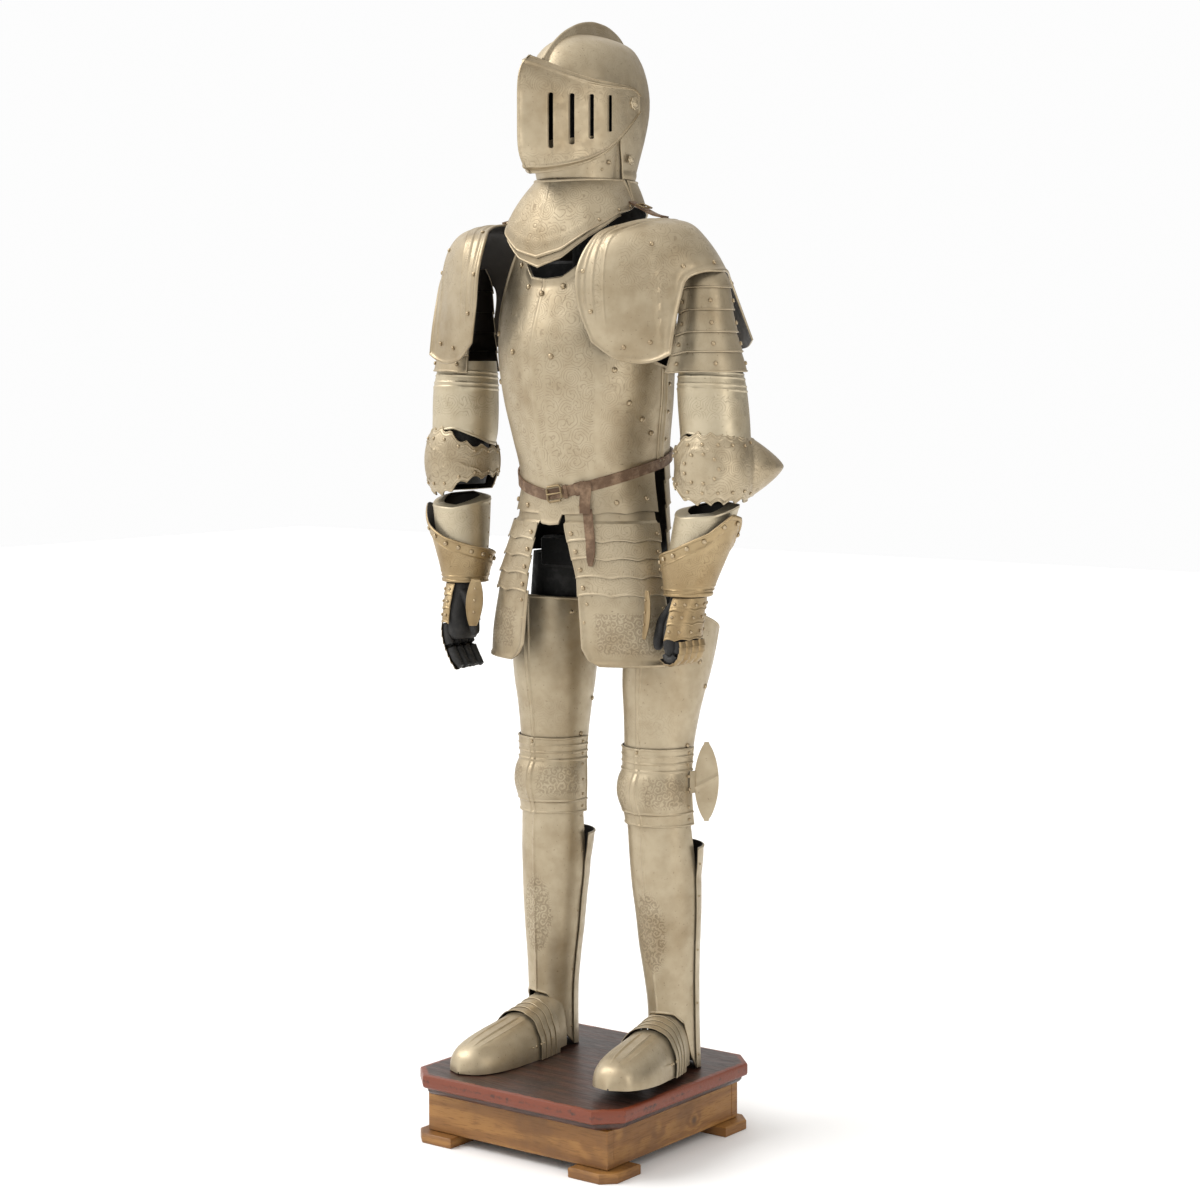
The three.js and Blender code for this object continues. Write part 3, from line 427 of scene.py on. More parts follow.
def woodMaterial(name, tones, across, rough=(0.34, 0.5), knots=0.0, worn=None, coat=0.0):
    # across turns the frame so the grain runs along the first axis
    t = Tree(name)
    split = t.add("ShaderNodeSeparateXYZ", {0: t.coords}).outputs
    if across == "faces":
        run = t.math("ADD", split[0], split[1])
        depthAxis = t.math("SUBTRACT", split[0], split[1])
        place = t.add("ShaderNodeCombineXYZ", {0: t.math("MULTIPLY", run, 0.09), 1: split[2],
                                               2: t.math("MULTIPLY", depthAxis, 0.03)}).outputs[0]
    else:
        place = t.add("ShaderNodeCombineXYZ", {0: t.math("MULTIPLY", split[0], 0.09),
                                               1: split[1], 2: split[2]}).outputs[0]
    bend = t.add("ShaderNodeTexNoise", {"Vector": place, "Scale": 26.0, "Detail": 2.0}).outputs[0]
    height = t.add("ShaderNodeSeparateXYZ", {0: place}).outputs[1]
    growth = t.math("MULTIPLY_ADD", height, 190.0, t.math("MULTIPLY", bend, 16.0))
    if knots:
        knotCells = t.add("ShaderNodeTexVoronoi", {"Vector": t.coords, "Scale": 11.0}
                          ).outputs["Distance"]
        knot = t.ramp(knotCells, 0.02, 0.32, 1.0, 0.0)
        growth = t.math("MULTIPLY_ADD", knot, 7.0 * knots, growth)
    bands = t.ramp(t.math("SINE", growth), -0.8, 0.9)
    fibres = t.noise(420.0, 3.0, 0.6, place)
    tone = t.blend(bands, tones[0], tones[1])
    tone = t.blend(t.ramp(fibres, 0.5, 0.72, 0.0, 0.6), tone, tones[2])
    tone = t.blend(t.ramp(t.noise(13.0, 3.0), 0.45, 0.7, 0.0, 0.6), tone, tones[2])
    if knots:
        tone = t.blend(t.ramp(knotCells, 0.05, 0.15, 0.9, 0.0), tone, tones[3])
    if worn:
        edge = t.attribute("etch")
        chips = t.ramp(t.math("MULTIPLY", edge, t.math("ADD", t.noise(70.0, 4.0, 0.7), 0.25)),
                       0.42, 0.62)
        tone = t.blend(chips, tone, worn)
    normal = t.bump(fibres, 0.0003, 0.45, t.bump(bands, 0.0003, 0.3))
    return t.finish(Base_Color=tone, Roughness=t.ramp(fibres, 0.3, 0.7, *rough), Normal=normal,
                    Coat_Weight=coat, Coat_Roughness=0.25)


steel = steelMaterial("etched_steel", (0.475, 0.40, 0.28), (0.31, 0.24, 0.148),
                      (0.10, 0.066, 0.036))
armSteel = steelMaterial("plain_steel", (0.54, 0.47, 0.34), (0.37, 0.298, 0.19),
                         (0.14, 0.1, 0.06), patina=(0.45, 0.8))
gauntletSteel = steelMaterial("gauntlet_steel", (0.41, 0.31, 0.175), (0.27, 0.185, 0.09),
                              (0.1, 0.065, 0.035), rough=(0.34, 0.5), etchScale=54.0)
rivetSteel = steelMaterial("rivet_steel", (0.46, 0.37, 0.24), (0.3, 0.22, 0.13),
                           (0.12, 0.08, 0.05), rough=(0.26, 0.4))
brass = steelMaterial("aged_brass", (0.27, 0.2, 0.11), (0.17, 0.12, 0.065), (0.05, 0.035, 0.02))
strapHide = leatherMaterial("strap_leather", (0.115, 0.062, 0.03), (0.24, 0.15, 0.085))
gloveHide = leatherMaterial("glove_leather", (0.006, 0.0055, 0.005), (0.016, 0.014, 0.012), 1.4)
varnish = woodMaterial("varnished_wood", ((0.055, 0.019, 0.01), (0.03, 0.011, 0.006),
                                          (0.014, 0.006, 0.004)), "along", (0.34, 0.55),
                       worn=(0.17, 0.034, 0.011), coat=0.12)
pine = woodMaterial("pine", ((0.31, 0.145, 0.034), (0.22, 0.095, 0.02), (0.12, 0.05, 0.013),
                             (0.045, 0.018, 0.007)), "faces", (0.46, 0.62), knots=1.0, coat=0.04)
blackPaint = leatherMaterial("black_paint", (0.005, 0.0048, 0.0045), (0.010, 0.0095, 0.009), 0.4,
                             0.8)
print("materials ready")


# rivets: one Geometry Nodes tree puts a domed head on every marked point

rivetSettings = {"headRadius": 3.3, "headHeight": 0.62, "segments": 10, "rings": 6}


def rivetTree():
    tree = bpy.data.node_groups.new("rivet_heads", "GeometryNodeTree")
    sockets = [tree.interface.new_socket(name, in_out=way, socket_type="NodeSocket" + kind)
               for name, way, kind in (("Geometry", "INPUT", "Geometry"),
                                       ("Head radius", "INPUT", "Float"),
                                       ("Head height", "INPUT", "Float"),
                                       ("Finish", "INPUT", "Material"),
                                       ("Geometry", "OUTPUT", "Geometry"))]
    given = addNode(tree, "NodeGroupInput").outputs
    points = addNode(tree, "GeometryNodeMeshToPoints", {"Mesh": given["Geometry"]})
    dome = addNode(tree, "GeometryNodeMeshUVSphere",
                   {"Segments": rivetSettings["segments"], "Rings": rivetSettings["rings"],
                    "Radius": given["Head radius"]})
    squash = addNode(tree, "ShaderNodeCombineXYZ", {0: 1.0, 1: 1.0, 2: given["Head height"]})
    flat = addNode(tree, "GeometryNodeTransform",
                   {"Geometry": dome.outputs["Mesh"], "Scale": squash.outputs[0]})
    aim = addNode(tree, "GeometryNodeInputNamedAttribute", {"Name": "aim"},
                  data_type="FLOAT_VECTOR")
    size = addNode(tree, "GeometryNodeInputNamedAttribute", {"Name": "size"}, data_type="FLOAT")
    turn = addNode(tree, "FunctionNodeAlignRotationToVector", {"Vector": aim.outputs[0]},
                   axis="Z")
    heads = addNode(tree, "GeometryNodeInstanceOnPoints",
                    {"Points": points.outputs["Points"], "Instance": flat.outputs["Geometry"],
                     "Rotation": turn.outputs[0], "Scale": size.outputs[0]})
    real = addNode(tree, "GeometryNodeRealizeInstances", {0: heads.outputs[0]})
    smooth = addNode(tree, "GeometryNodeSetShadeSmooth", {0: real.outputs[0]})
    paint = addNode(tree, "GeometryNodeSetMaterial",
                    {0: smooth.outputs[0], "Material": given["Finish"]})
    addNode(tree, "NodeGroupOutput", {0: paint.outputs[0]})
    return tree, [socket.identifier for socket in sockets[1:4]]


rivetNodes = rivetTree()
rivetSpots = {}


def rivet(body, surface, u, v, size=1.0, side=1, proud=0.4):
    # marks a rivet on a surface; heads are made for each body at the end
    p = np.array(surface(u, v), float)
    e = 1e-3
    n = np.cross(np.array(surface(u + e, v)) - np.array(surface(u - e, v)),
                 np.array(surface(u, v + e)) - np.array(surface(u, v - e)))
    n = n / max(np.linalg.norm(n), 1e-12)
    p = p + n * proud
    if side < 0:
        p, n = p * (-1, 1, 1), n * (-1, 1, 1)
    rivetSpots.setdefault(body, []).append((p * 0.001, n, size))


def makeRivets():
    tree, (radius, height, finish) = rivetNodes
    for body, spots in rivetSpots.items():
        mesh = bpy.data.meshes.new("rivet_points")
        mesh.from_pydata([tuple(p) for p, n, s in spots], [], [])
        aim = mesh.attributes.new("aim", "FLOAT_VECTOR", "POINT")
        aim.data.foreach_set("vector", [c for p, n, s in spots for c in n])
        size = mesh.attributes.new("size", "FLOAT", "POINT")
        size.data.foreach_set("value", [s for p, n, s in spots])
        holder = addObject("rivet_points", mesh)
        modifier = holder.modifiers.new("heads", "NODES")
        modifier.node_group = tree
        modifier[radius] = rivetSettings["headRadius"] * 0.001
        modifier[height] = rivetSettings["headHeight"]
        modifier[finish] = rivetSteel
        bpy.context.view_layer.update()
        deps = bpy.context.evaluated_depsgraph_get()
        real = bpy.data.meshes.new_from_object(holder.evaluated_get(deps), depsgraph=deps)
        bpy.data.objects.remove(holder)
        obj = addObject("rivets_" + body, real)
        if not real.materials:
            real.materials.append(rivetSteel)
        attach(obj, body)
    print("rivets:", {b: len(s) for b, s in rivetSpots.items()})


# forms of the suit

base = {"half": 192, "foot": 17.4, "apronTop": 84.8, "top": 122.5, "board": 18}
footBlock = {"near": 126, "far": 212, "cut": 22, "centre": 172, "reach": 43,
             "levels": ((0, 1.5), (1.5, 0), (15.6, 0), (17.4, 1.6))}

leg = reader("z x y rx ry", [
    (122, 133, 82, 43, 45), (180, 132, 81, 42, 45), (234, 131, 80, 42.5, 45),
    (288, 128, 78, 46, 48), (340, 125, 76, 51, 52), (396, 123, 75, 55, 56),
    (440, 120, 74, 58, 59), (488, 118, 72, 59, 61), (548, 115, 66, 58, 57),
    (602, 112, 61, 58, 56), (650, 112, 61, 58.5, 57), (690, 113, 63, 60, 60),
    (740, 115, 67, 64, 67), (791, 118, 71, 70, 76), (850, 121, 74, 73, 79),
    (942, 122, 76, 75, 81)])


def ridge(a, height, width=14):
    return height * max(0, 1 - abs(a) / width)


def onLeg(a, z, lift=0):
    f = leg(z)
    return (f["x"] + (f["rx"] + lift) * math.sin(a * deg),
            f["y"] - (f["ry"] + lift + ridge(a, 2.5)) * math.cos(a * deg), z)


def twinLines(a, radius, height):
    # a pair of raised lines, one at each side of the middle
    return bead(abs(a) * deg * radius, 4.2, 4.4, height)


cuisse = {"side": 142, "low": 676, "flare": 14}
cuisseTop = line([(-142, 918), (-70, 932), (0, 938), (70, 924), (110, 902), (142, 884)])


def onCuisse(a, v):
    out = cuisse["flare"] * max(0, (a - 80) / 62) * max(0, v - 0.45) / 0.55
    return onLeg(a, mix(cuisse["low"], cuisseTop(a), v), out)


knee = reader("z lift bulge", [
    (552, 3.6, 0), (568, 3.6, 1), (584, 4.5, 7), (606, 5, 12), (630, 4.6, 9), (648, 4, 0),
    (672, 4, 0), (688, 4, 0)])


def onKnee(a, z):
    k = knee(z)
    return onLeg(a, z, k["lift"] + k["bulge"] * max(0, 1 - (a / 92) ** 2))


def kneeRelief(a, z, su, sv):
    # steps between the bands, and the raised lines of the upper one
    step = bead(z, 575, 5, 1.0) + bead(z, 648, 6, 1.3) + bead(z, 661, 5, 1.0) + bead(z, 673, 5, 0.8)
    return 1.5 * step + twinLines(a, 62, 1.8)


wing = {"z": 627, "tall": 68, "from": (177, 76), "to": (212, 99)}


def onWing(u, v):
    reach = 0.5 + (v - 0.5) * math.sin(math.pi * clamp(u, 0.02, 0.98)) ** 0.6
    return (mix(wing["from"][0], wing["to"][0], reach), mix(wing["from"][1], wing["to"][1], reach),
            mix(wing["z"] + wing["tall"], wing["z"] - wing["tall"], u))


shinFoot = line([(-98, 128), (-75, 145), (-48, 196), (-28, 229), (0, 234), (38, 233), (62, 216),
                 (80, 150), (98, 128)])
calfFoot = line([(98, 128), (120, 124), (240, 124), (262, 128)])
shinTop, calfTop = 566, 514


def onShin(a, v):
    return onLeg(a, mix(shinFoot(a), shinTop, v))


def onCalf(a, v):
    # flares over its last 54 mm
    z = mix(calfFoot(a), calfTop, v)
    return onLeg(a, z, 3.2 + 8 * max(0, 1 - (calfTop - z) / 54))


foot = reader("s half high", [
    (-8, 41, 112), (24, 44, 104), (55, 47, 88), (95, 51, 75), (136, 53, 66), (172, 54, 59),
    (208, 50, 51), (237, 40, 42), (254, 27, 31), (264, 10, 18)])
heel = {"x": 127, "y": 80, "sole": base["top"] + 0.6}
footTurn = {"l": 12, "r": 1}
toeUp = {"l": 4.6, "r": 0.3}


def onFoot(a, s, lift, side):
    f = foot(s)
    tip = math.sqrt(max(0.02, 1 - max(0, (s - 250) / 14.2) ** 2))
    f = {"half": f["half"] * tip, "high": f["high"] * tip}
    across, up = math.sin(a * deg), max(0, math.cos(a * deg)) ** 0.8
    x = (f["half"] + lift) * math.copysign(abs(across) ** 0.85, across)
    y, z = -s - 46, up * (f["high"] + lift)
    tilt, yaw = -toeUp[side] * deg, footTurn[side] * deg
    y, z = y * math.cos(tilt) - z * math.sin(tilt) + 46, y * math.sin(tilt) + z * math.cos(tilt)
    return (heel["x"] + x * math.cos(yaw) - y * math.sin(yaw),
            heel["y"] + x * math.sin(yaw) + y * math.cos(yaw), heel["sole"] + z)


body = reader("z y rx rf rb", [
    (1000, 22, 158, 112, 96), (1060, 30, 147, 124, 98), (1100, 38, 137, 134, 100),
    (1130, 44, 129, 143, 102), (1162, 44, 127, 153, 102), (1213, 38, 134, 163, 104),
    (1272, 28, 147, 163, 108), (1334, 20, 155, 161, 112), (1373, 18, 156, 159, 114),
    (1416, 16, 155, 144, 114), (1476, 12, 150, 115, 108), (1520, 10, 146, 88, 96),
    (1556, 10, 142, 56, 70)])


def onBody(a, z, lift=0):
    f = body(z)
    depth = f["rf"] if math.cos(a * deg) > 0 else f["rb"]
    return ((f["rx"] + lift) * math.sin(a * deg),
            f["y"] - (depth + lift + ridge(a, 3, 16)) * math.cos(a * deg), z)


def beltZ(a):
    return 1152 - 32 * math.cos(a * deg) + 20 * abs(math.sin(a * deg))


breastTop = line([(0, 1476), (12, 1480), (21, 1500), (28, 1540), (43, 1544), (52, 1452),
                  (62, 1385), (75, 1345), (94, 1328)])
backTop = line([(0, 1500), (20, 1508), (30, 1540), (45, 1544), (54, 1470), (64, 1400),
                (75, 1350), (85, 1328)])
fauldLow = line([(0, 1066), (7, 1068), (10, 1084), (60, 1086), (84, 1088)])

hip = reader("z y rx rf", [
    (826, 2, 187, 96), (880, 2, 184, 95), (940, 3, 173, 95), (982, 6, 165, 98),
    (1030, 20, 153, 114), (1060, 30, 147, 124), (1100, 38, 137, 134)])
tassetIn = line([(832, 30), (842, 23), (862, 19), (900, 18.4), (982, 17.5), (1030, 14),
                 (1062, 11), (1100, 10.5)])
tassetOut = line([(832, 76), (844, 84), (870, 88), (1090, 82)])


def onHip(a, z, lift):
    f = hip(z)
    return ((f["rx"] + lift) * math.sin(a * deg), f["y"] - (f["rf"] + lift) * math.cos(a * deg), z)


def onTasset(u, z, lift):
    return onHip(mix(tassetIn(z), tassetOut(z), u), z, lift)


head = reader("z y rx rf rb", [
    (1614, 14, 83, 106, 84), (1640, 14, 77, 104, 78), (1670, 16, 81, 118, 84),
    (1710, 18, 87, 134, 98), (1750, 20, 91, 140, 108), (1785, 20, 91, 140, 110),
    (1820, 18, 83, 130, 109), (1848, 14, 70, 108, 106), (1868, 12, 52, 80, 92),
    (1881, 12, 22, 44, 48), (1885, 12, 3, 6, 8)])


def onHead(a, z, lift=0):
    f = head(z)
    depth = f["rf"] if math.cos(a * deg) > 0 else f["rb"]
    return ((f["rx"] + lift) * math.sin(a * deg), f["y"] - (depth + lift) * math.cos(a * deg), z)


skullLow = line([(0, 1806), (60, 1806), (70, 1800), (78, 1700), (84, 1642), (180, 1642)])
visorForm = reader("t x y low high tuckLow tuckHigh", [
    (0, 0, -180, 1646, 1838, 34, 32), (1, 18, -156, 1647, 1831, 26, 26),
    (2, 34, -134, 1650, 1822, 18, 20), (3, 53.5, -104, 1657, 1811, 10, 8),
    (4, 71.5, -74, 1668, 1802, 5, 3), (5, 86, -45, 1686, 1797, 2, 1),
    (6, 95, -16, 1712, 1794, 0, 0), (7, 98.5, 8, 1736, 1790, 0, 0),
    (8, 98.5, 24, 1752, 1780, 0, 0)])
pivot = (99, 8, 1766)


def onVisor(t, v):
    f = visorForm(math.sqrt(t * t + 0.02) - 0.1414 * max(0, 1 - abs(t)))
    tuck = (f["tuckLow"] if v < 0.5 else f["tuckHigh"]) * ((2 * v - 1) ** 2) ** 2.6
    x = max(0, f["x"] - tuck * 0.25 * min(1, abs(t)))
    return (math.copysign(x, t), f["y"] + tuck, mix(f["low"], f["high"], v))


gorgetLow = line([(0, 1508), (18, 1520), (36, 1550), (58, 1580), (90, 1597)])
gorgetOut = line([(0, 146), (18, 146), (36, 147), (58, 131), (90, 92), (130, 98), (180, 96)])


def onGorget(a, v, lift=0, drop=0):
    away = abs(a)
    neck = onHead(a, 1640, 2.5)
    out = gorgetOut(360 - away if away > 180 else away) + lift
    low = 1597 - 0.45 * (1597 - gorgetLow(abs(180 - away))) if away > 90 else gorgetLow(away)
    bow = v ** 1.5
    return (mix(out * math.sin(a * deg), neck[0], bow),
            mix(14 - out * math.cos(a * deg), neck[1], bow), mix(low - drop, 1640.5, v))


# rows from the front edge to the back one, each from the outer end to the neck
shoulderNet = [
    [(254, -105, 1350), (226, -113, 1338), (196, -122, 1335), (160, -134, 1344), (125, -148, 1370)],
    [(255, -96, 1395), (226, -112, 1390), (192, -130, 1392), (150, -147, 1400), (106, -160, 1432)],
    [(257, -82, 1440), (226, -106, 1450), (188, -130, 1462), (146, -148, 1474), (102, -157, 1490)],
    [(260, -69, 1470), (228, -98, 1498), (188, -122, 1520), (150, -132, 1536), (114, -122, 1543)],
    [(274, -44, 1482), (244, -66, 1526), (212, -80, 1551), (176, -86, 1561), (140, -78, 1562)],
    [(284, -14, 1484), (256, -14, 1530), (226, -18, 1560), (190, -24, 1571), (154, -28, 1571)],
    [(272, 28, 1484), (234, 34, 1532), (204, 38, 1558), (176, 36, 1567), (150, 30, 1568)],
    [(252, 68, 1470), (228, 86, 1496), (200, 98, 1520), (170, 104, 1536), (142, 100, 1548)],
    [(264, 84, 1420), (238, 108, 1432), (214, 122, 1444), (172, 132, 1456), (130, 136, 1466)],
    [(285, 84, 1374), (258, 108, 1362), (222, 126, 1362), (178, 136, 1376), (136, 140, 1400)]]
onShoulder = net(shoulderNet[::-1])


arm = reader("z x y r", [
    (955, 237, -33, 36), (1000, 244, -27, 42), (1050, 253, -20, 48), (1108, 263, -10, 52),
    (1150, 268, -2, 54), (1185, 269, 1, 57), (1220, 266, 4, 59), (1293, 261, 1, 58),
    (1345, 256, 1, 50)])


def onArm(a, z, lift=0):
    f = arm(z)
    return (f["x"] + (f["r"] + lift) * math.sin(a * deg),
            f["y"] - (f["r"] + lift) * math.cos(a * deg), z)


print("forms ready")


def wave(u, count, depth):
    # cusped edge, like a row of shallow scallops
    return depth * abs(math.sin(math.pi * count * u))


def soft(x, low, high, fade):
    return clamp((x - low) / fade) * clamp((high - x) / fade)


# base
# half width, cut corner, height and how worn the varnish is, from the slab's foot to its top
slabLoops = [(199, 24, 85.2, 0.6), (206, 30, 88, 0.6), (210, 33, 93, 0.5), (211, 34, 98, 0.4),
             (215, 37, 98.6, 0.8), (219, 39, 101, 1.0), (220.3, 40, 104.5, 1.0),
             (220.3, 40, 112, 0.75), (220.3, 40, 118.6, 1.0), (219.2, 39.4, 121.4, 1.0),
             (216.4, 38.2, 122.5, 1.0), (209, 35, 122.5, 0.55), (190, 28, 122.5, 0.3),
             (120, 15, 122.5, 0.2), (40, 5, 122.5, 0.1)]


def cutSquare(half, cut, z, per=8):
    k = half - cut
    corners = [(k, -half), (half, -k), (half, k), (k, half), (-k, half), (-half, k),
               (-half, -k), (-k, -half)]
    points = []
    for (x0, y0), (x1, y1) in zip(corners, corners[1:] + corners[:1]):
        points += [(mix(x0, x1, i / per), mix(y0, y1, i / per), z) for i in range(per)]
    return points


def makeBase():
    loops = [cutSquare(half, cut, z) for half, cut, z, worn in slabLoops]
    marks = [[row[3]] * len(loops[0]) for row in slabLoops]
    makePiece("base_board", [rings(loops, marks=marks)], varnish, "root", ["base_slab"])
    h, t, z0, z1 = base["half"], base["board"], base["foot"] + 0.4, base["apronTop"]
    z, tall = (z0 + z1) / 2, z1 - z0
    boards = [block((2 * h, t, tall), (0, s * (h - t / 2), z), 1.6) for s in (-1, 1)]
    boards += [block((t, 2 * (h - t) - 0.6, tall), (s * (h - t / 2 - 0.5), 0, z), 1.6)
               for s in (-1, 1)]
    makePiece("base_boards", boards, pine, "root", ["base_apron"])
    near, far, cut, centre = (footBlock[key] for key in ("near", "far", "cut", "centre"))
    outline = [(near, near), (far, near), (far, far - cut), (far - cut, far), (near, far)]
    for name, sx, sy in (("front_l", 1, -1), ("front_r", -1, -1), ("back_l", 1, 1),
                         ("back_r", -1, 1)):
        loops = []
        for z, shrink in footBlock["levels"]:
            k = 1 - shrink / footBlock["reach"]
            loops.append([(centre + (x - centre) * k, centre + (y - centre) * k, z)
                          for x, y in outline])
        verts, faces, etching, inside = rings(loops)
        verts = verts * np.array([sx, sy, 1.0])
        if sx * sy < 0:
            faces = [tuple(reversed(f)) for f in faces]
        makePiece("base_block_" + name, [(verts, faces, etching, inside)], pine, "root",
                  ["base_foot_" + name])


makeBase()
print("base done")

# legs
legSettings = {"rim": (5.0, 1.7), "lens": (372, 76, 36), "lames": 4}


def makeThigh(side, sign):
    thigh = sheet(onCuisse, (-cuisse["side"], cuisse["side"]), (0, 1), rims="abd", step=8,
                  fineU=(-3.4, 0, 3.4), side=sign, rimSize=legSettings["rim"],
                  relief=lambda a, v, su, sv: twinLines(a, 72, 2.0),
                  etch=lambda a, v, su, sv:
                  0.35 * soft(v, 0.08, 0.34, 0.08) * soft(a, -70, 70, 20))
    makePiece("thigh_plate_" + side, [thigh], steel, "root", ["cuisse_" + side])
    for a, v in ((-62, 0.9), (64, 0.9), (-84, 0.62), (86, 0.66), (-88, 0.06), (88, 0.06),
                 (110, 0.5), (-115, 0.3)):
        rivet("root", onCuisse, a, v, 1.35, sign, 0.8)


def makeKnee(side, sign):
    cop = sheet(onKnee, (-104, 104), (552, 687), rims="abcd", step=6, fineU=(-4, 0, 4),
                fineV=(575, 648, 661, 673), relief=kneeRelief, side=sign, rimSize=(4.0, 1.1),
                etch=lambda a, z, su, sv: 0.9 * soft(z, 580, 644, 8) * soft(abs(a), 6, 84, 8))
    makePiece("knee_cop_" + side, [cop], steel, "root", ["poleyn_" + side])
    for a in (-90, 90):
        for z in (563, 585, 611, 638, 657, 678):
            rivet("root", onKnee, a, z, 0.85, sign)
    rivet("root", onKnee, 0, 680, 0.9, sign)
    wingPlate = sheet(onWing, (0.0, 1.0), (0, 1), rims="", step=4,
                      relief=lambda u, v, su, sv: bead((u - 0.5) * 136 + (v - 0.5) * 22, 0, 9, 2.8),
                      fineU=(0.44, 0.5, 0.56), side=sign)

    def onFanNeck(u, v):
        # joins the fan to the side of the knee plate
        z = mix(646, 608, u)
        start = onLeg(92, z, knee(z)["lift"] + 2.6)
        return (mix(start[0], wing["from"][0] + 3, v), mix(start[1], wing["from"][1] + 2, v), z)
    neck = sheet(onFanNeck, (0, 1), (0, 1), wall=1.4, step=4, side=sign)
    makePiece("knee_fan_" + side, [wingPlate, neck], steel, "root", ["knee_wing_" + side])
    for z in (616, 638):
        rivet("root", onKnee, 88, z, 0.9, sign, 3.6)


def makeShin(side, sign):
    lens, tall, wide = legSettings["lens"]

    def shinLow(a):
        return shinFoot(a) - 8 * clamp((70 - abs(a)) / 12)

    def onShinPlate(a, v):
        return onLeg(a, mix(shinLow(a), shinTop, v))

    def lensEtch(a, v, su, sv):
        z = mix(shinFoot(a), shinTop, v)
        r = math.hypot((z - lens) / tall, a / wide)
        return soft(r, -1, 1, 0.06) * (0.95 if r < 0.9 else 0.5)

    def shinRelief(a, v, su, sv):
        z = mix(shinFoot(a), shinTop, v)
        r = math.hypot((z - lens) / tall, a / wide)
        return bead(r, 1.04, 0.09, 0.7) + bead(abs(a) * deg * 50, 0, 6, 1.7)
    shin = sheet(onShinPlate, (-98, 98), (0, 1), rims="c", step=6, fineU=(0,), relief=shinRelief,
                 side=sign, rimSize=(4.0, 1.1), etch=lensEtch)
    makePiece("shin_plate_" + side, [shin], steel, "root", ["greave_" + side])
    calf = sheet(onCalf, (95, 265), (0, 1), rims="d", step=7, side=sign,
                 rimSize=(4.5, 1.4))
    makePiece("calf_plate_" + side, [calf], steel, "root", ["greave_back_" + side])
    for v in (0.06, 0.3, 0.55, 0.8, 0.95):
        rivet("root", onShin, -90, v, 0.6, sign)
        rivet("root", onCalf, 103, v * 0.97, 0.7, sign)


def makeFoot(side, sign):
    parts = []
    count, first, last = legSettings["lames"], 44, 106
    for k in range(count):
        low = mix(first, last, k / count)
        high = mix(first, last, (k + 1) / count)

        def lame(a, v, low=low, high=high, k=k):
            s = mix(low - (4 if k else 0), high - wave(a / 180 + 0.5, 5, 2.2), v)
            lift = 3 + 1.6 * max(0, (s - 18 - abs(a) * 0.55) / 60) + 0.9 - 1.5 * (1 - v)
            return onFoot(-a, s, lift, side)
        parts.append(sheet(lame, (-90, 90), (0, 1), wall=1.2, step=3.2, side=sign,
                           rims="d", rimSize=(2.4, 0.5), etch=lambda a, v, su, sv: 0.25))
    parts.append(sheet(lambda a, s: onFoot(-a, s, 0.2, side), (-88, 88), (20, first + 3),
                       wall=1.2, step=4, side=sign))
    makePiece("instep_lames_" + side, parts, steel, "root", ["sabaton_instep_" + side])

    def toeRelief(a, s, su, sv):
        fade = clamp((240 - s) / 30) * clamp((s - 108) / 20)
        return fade * (bead(abs(a), 7.5, 7, 2.2) + bead(abs(a), 21, 4, 0.7))
    toe = sheet(lambda a, s: onFoot(-a, s, 0, side), (-90, 90), (98, 264), step=5,
                fineU=(-8, 8, -21, 21), fineV=(262,), relief=toeRelief, side=sign, rims="c",
                rimSize=(3.6, 0.9), etch=lambda a, s, su, sv: 0.2 * soft(s, 120, 215, 20))
    makePiece("toe_cap_" + side, [toe], steel, "root", ["sabaton_toe_" + side])
    for s in (70, 96, 104, 118, 127):
        for a in (-74, 74):
            rivet("root", lambda q, r: onFoot(-q, r, 3, side), a, s, 0.75, sign, 1.2)


for side, sign in sides:
    for make in (makeThigh, makeKnee, makeShin, makeFoot):
        make(side, sign)
print("legs done")

# torso
torso = {"rim": (8.5, 3.4), "breast": (-94, 94), "back": (94, 266)}


def onBreast(a, v):
    return onBody(a, mix(beltZ(a) + 2, breastTop(abs(a)), v))


def onBack(t, v):
    a = 180 + (t - 180) * 85.5 / 78.5
    off = min(abs(a - 180), 85)
    return onBody(a, mix(beltZ(a) + 2, backTop(off), v))


def breastRelief(a, v, su, sv):
    flange = 2.5 * clamp(1 - sv / 9)
    return flange + bead(abs(a) * 2.4, 0, 9, 0.7)


def breastEtch(a, v, su, sv):
    centre = 0.77 * soft(abs(a), 1.6, 7.6, 0.5)
    field = 0.76 * soft(abs(a), 8.6, 40, 1.0)
    outer = 0.5 * soft(abs(a), 42, 84, 4)
    return (centre + field + outer) * soft(v, 0.04, 0.95, 0.03)


breast = sheet(onBreast, torso["breast"], (0, 1), rims="abd", step=6.5,
               fineU=(-33, -9, 0, 9, 33), relief=breastRelief, etch=breastEtch,
               rimSize=torso["rim"])
makePiece("breast_plate", [breast], steel, "root", ["breastplate"])
back = sheet(onBack, torso["back"], (0, 1), rims="abd", step=8,
             relief=lambda a, v, su, sv: 2.5 * clamp(1 - sv / 9), rimSize=torso["rim"],
             etch=lambda a, v, su, sv: 0.4 * soft(v, 0.05, 0.92, 0.04))
makePiece("back_plate", [back], steel, "root", ["backplate"])
for a, v in ((-18, 0.62), (13, 0.62), (-30, 0.9), (44, 0.62), (52, 0.58), (62, 0.5), (72, 0.42),
             (-44, 0.62), (-56, 0.56), (80, 0.3), (-72, 0.42), (0, 0.93), (14, 0.94), (-14, 0.94)):
    rivet("root", onBreast, a, v, 1.5, proud=1.2)
for t in (104, 256):
    for v in (0.2, 0.5, 0.8):
        rivet("root", onBack, t, v, 1.1)

fauld = {"side": 84, "rim": (5.5, 2.0)}
culet = {"lames": 4, "low": 1012, "overlap": 5}


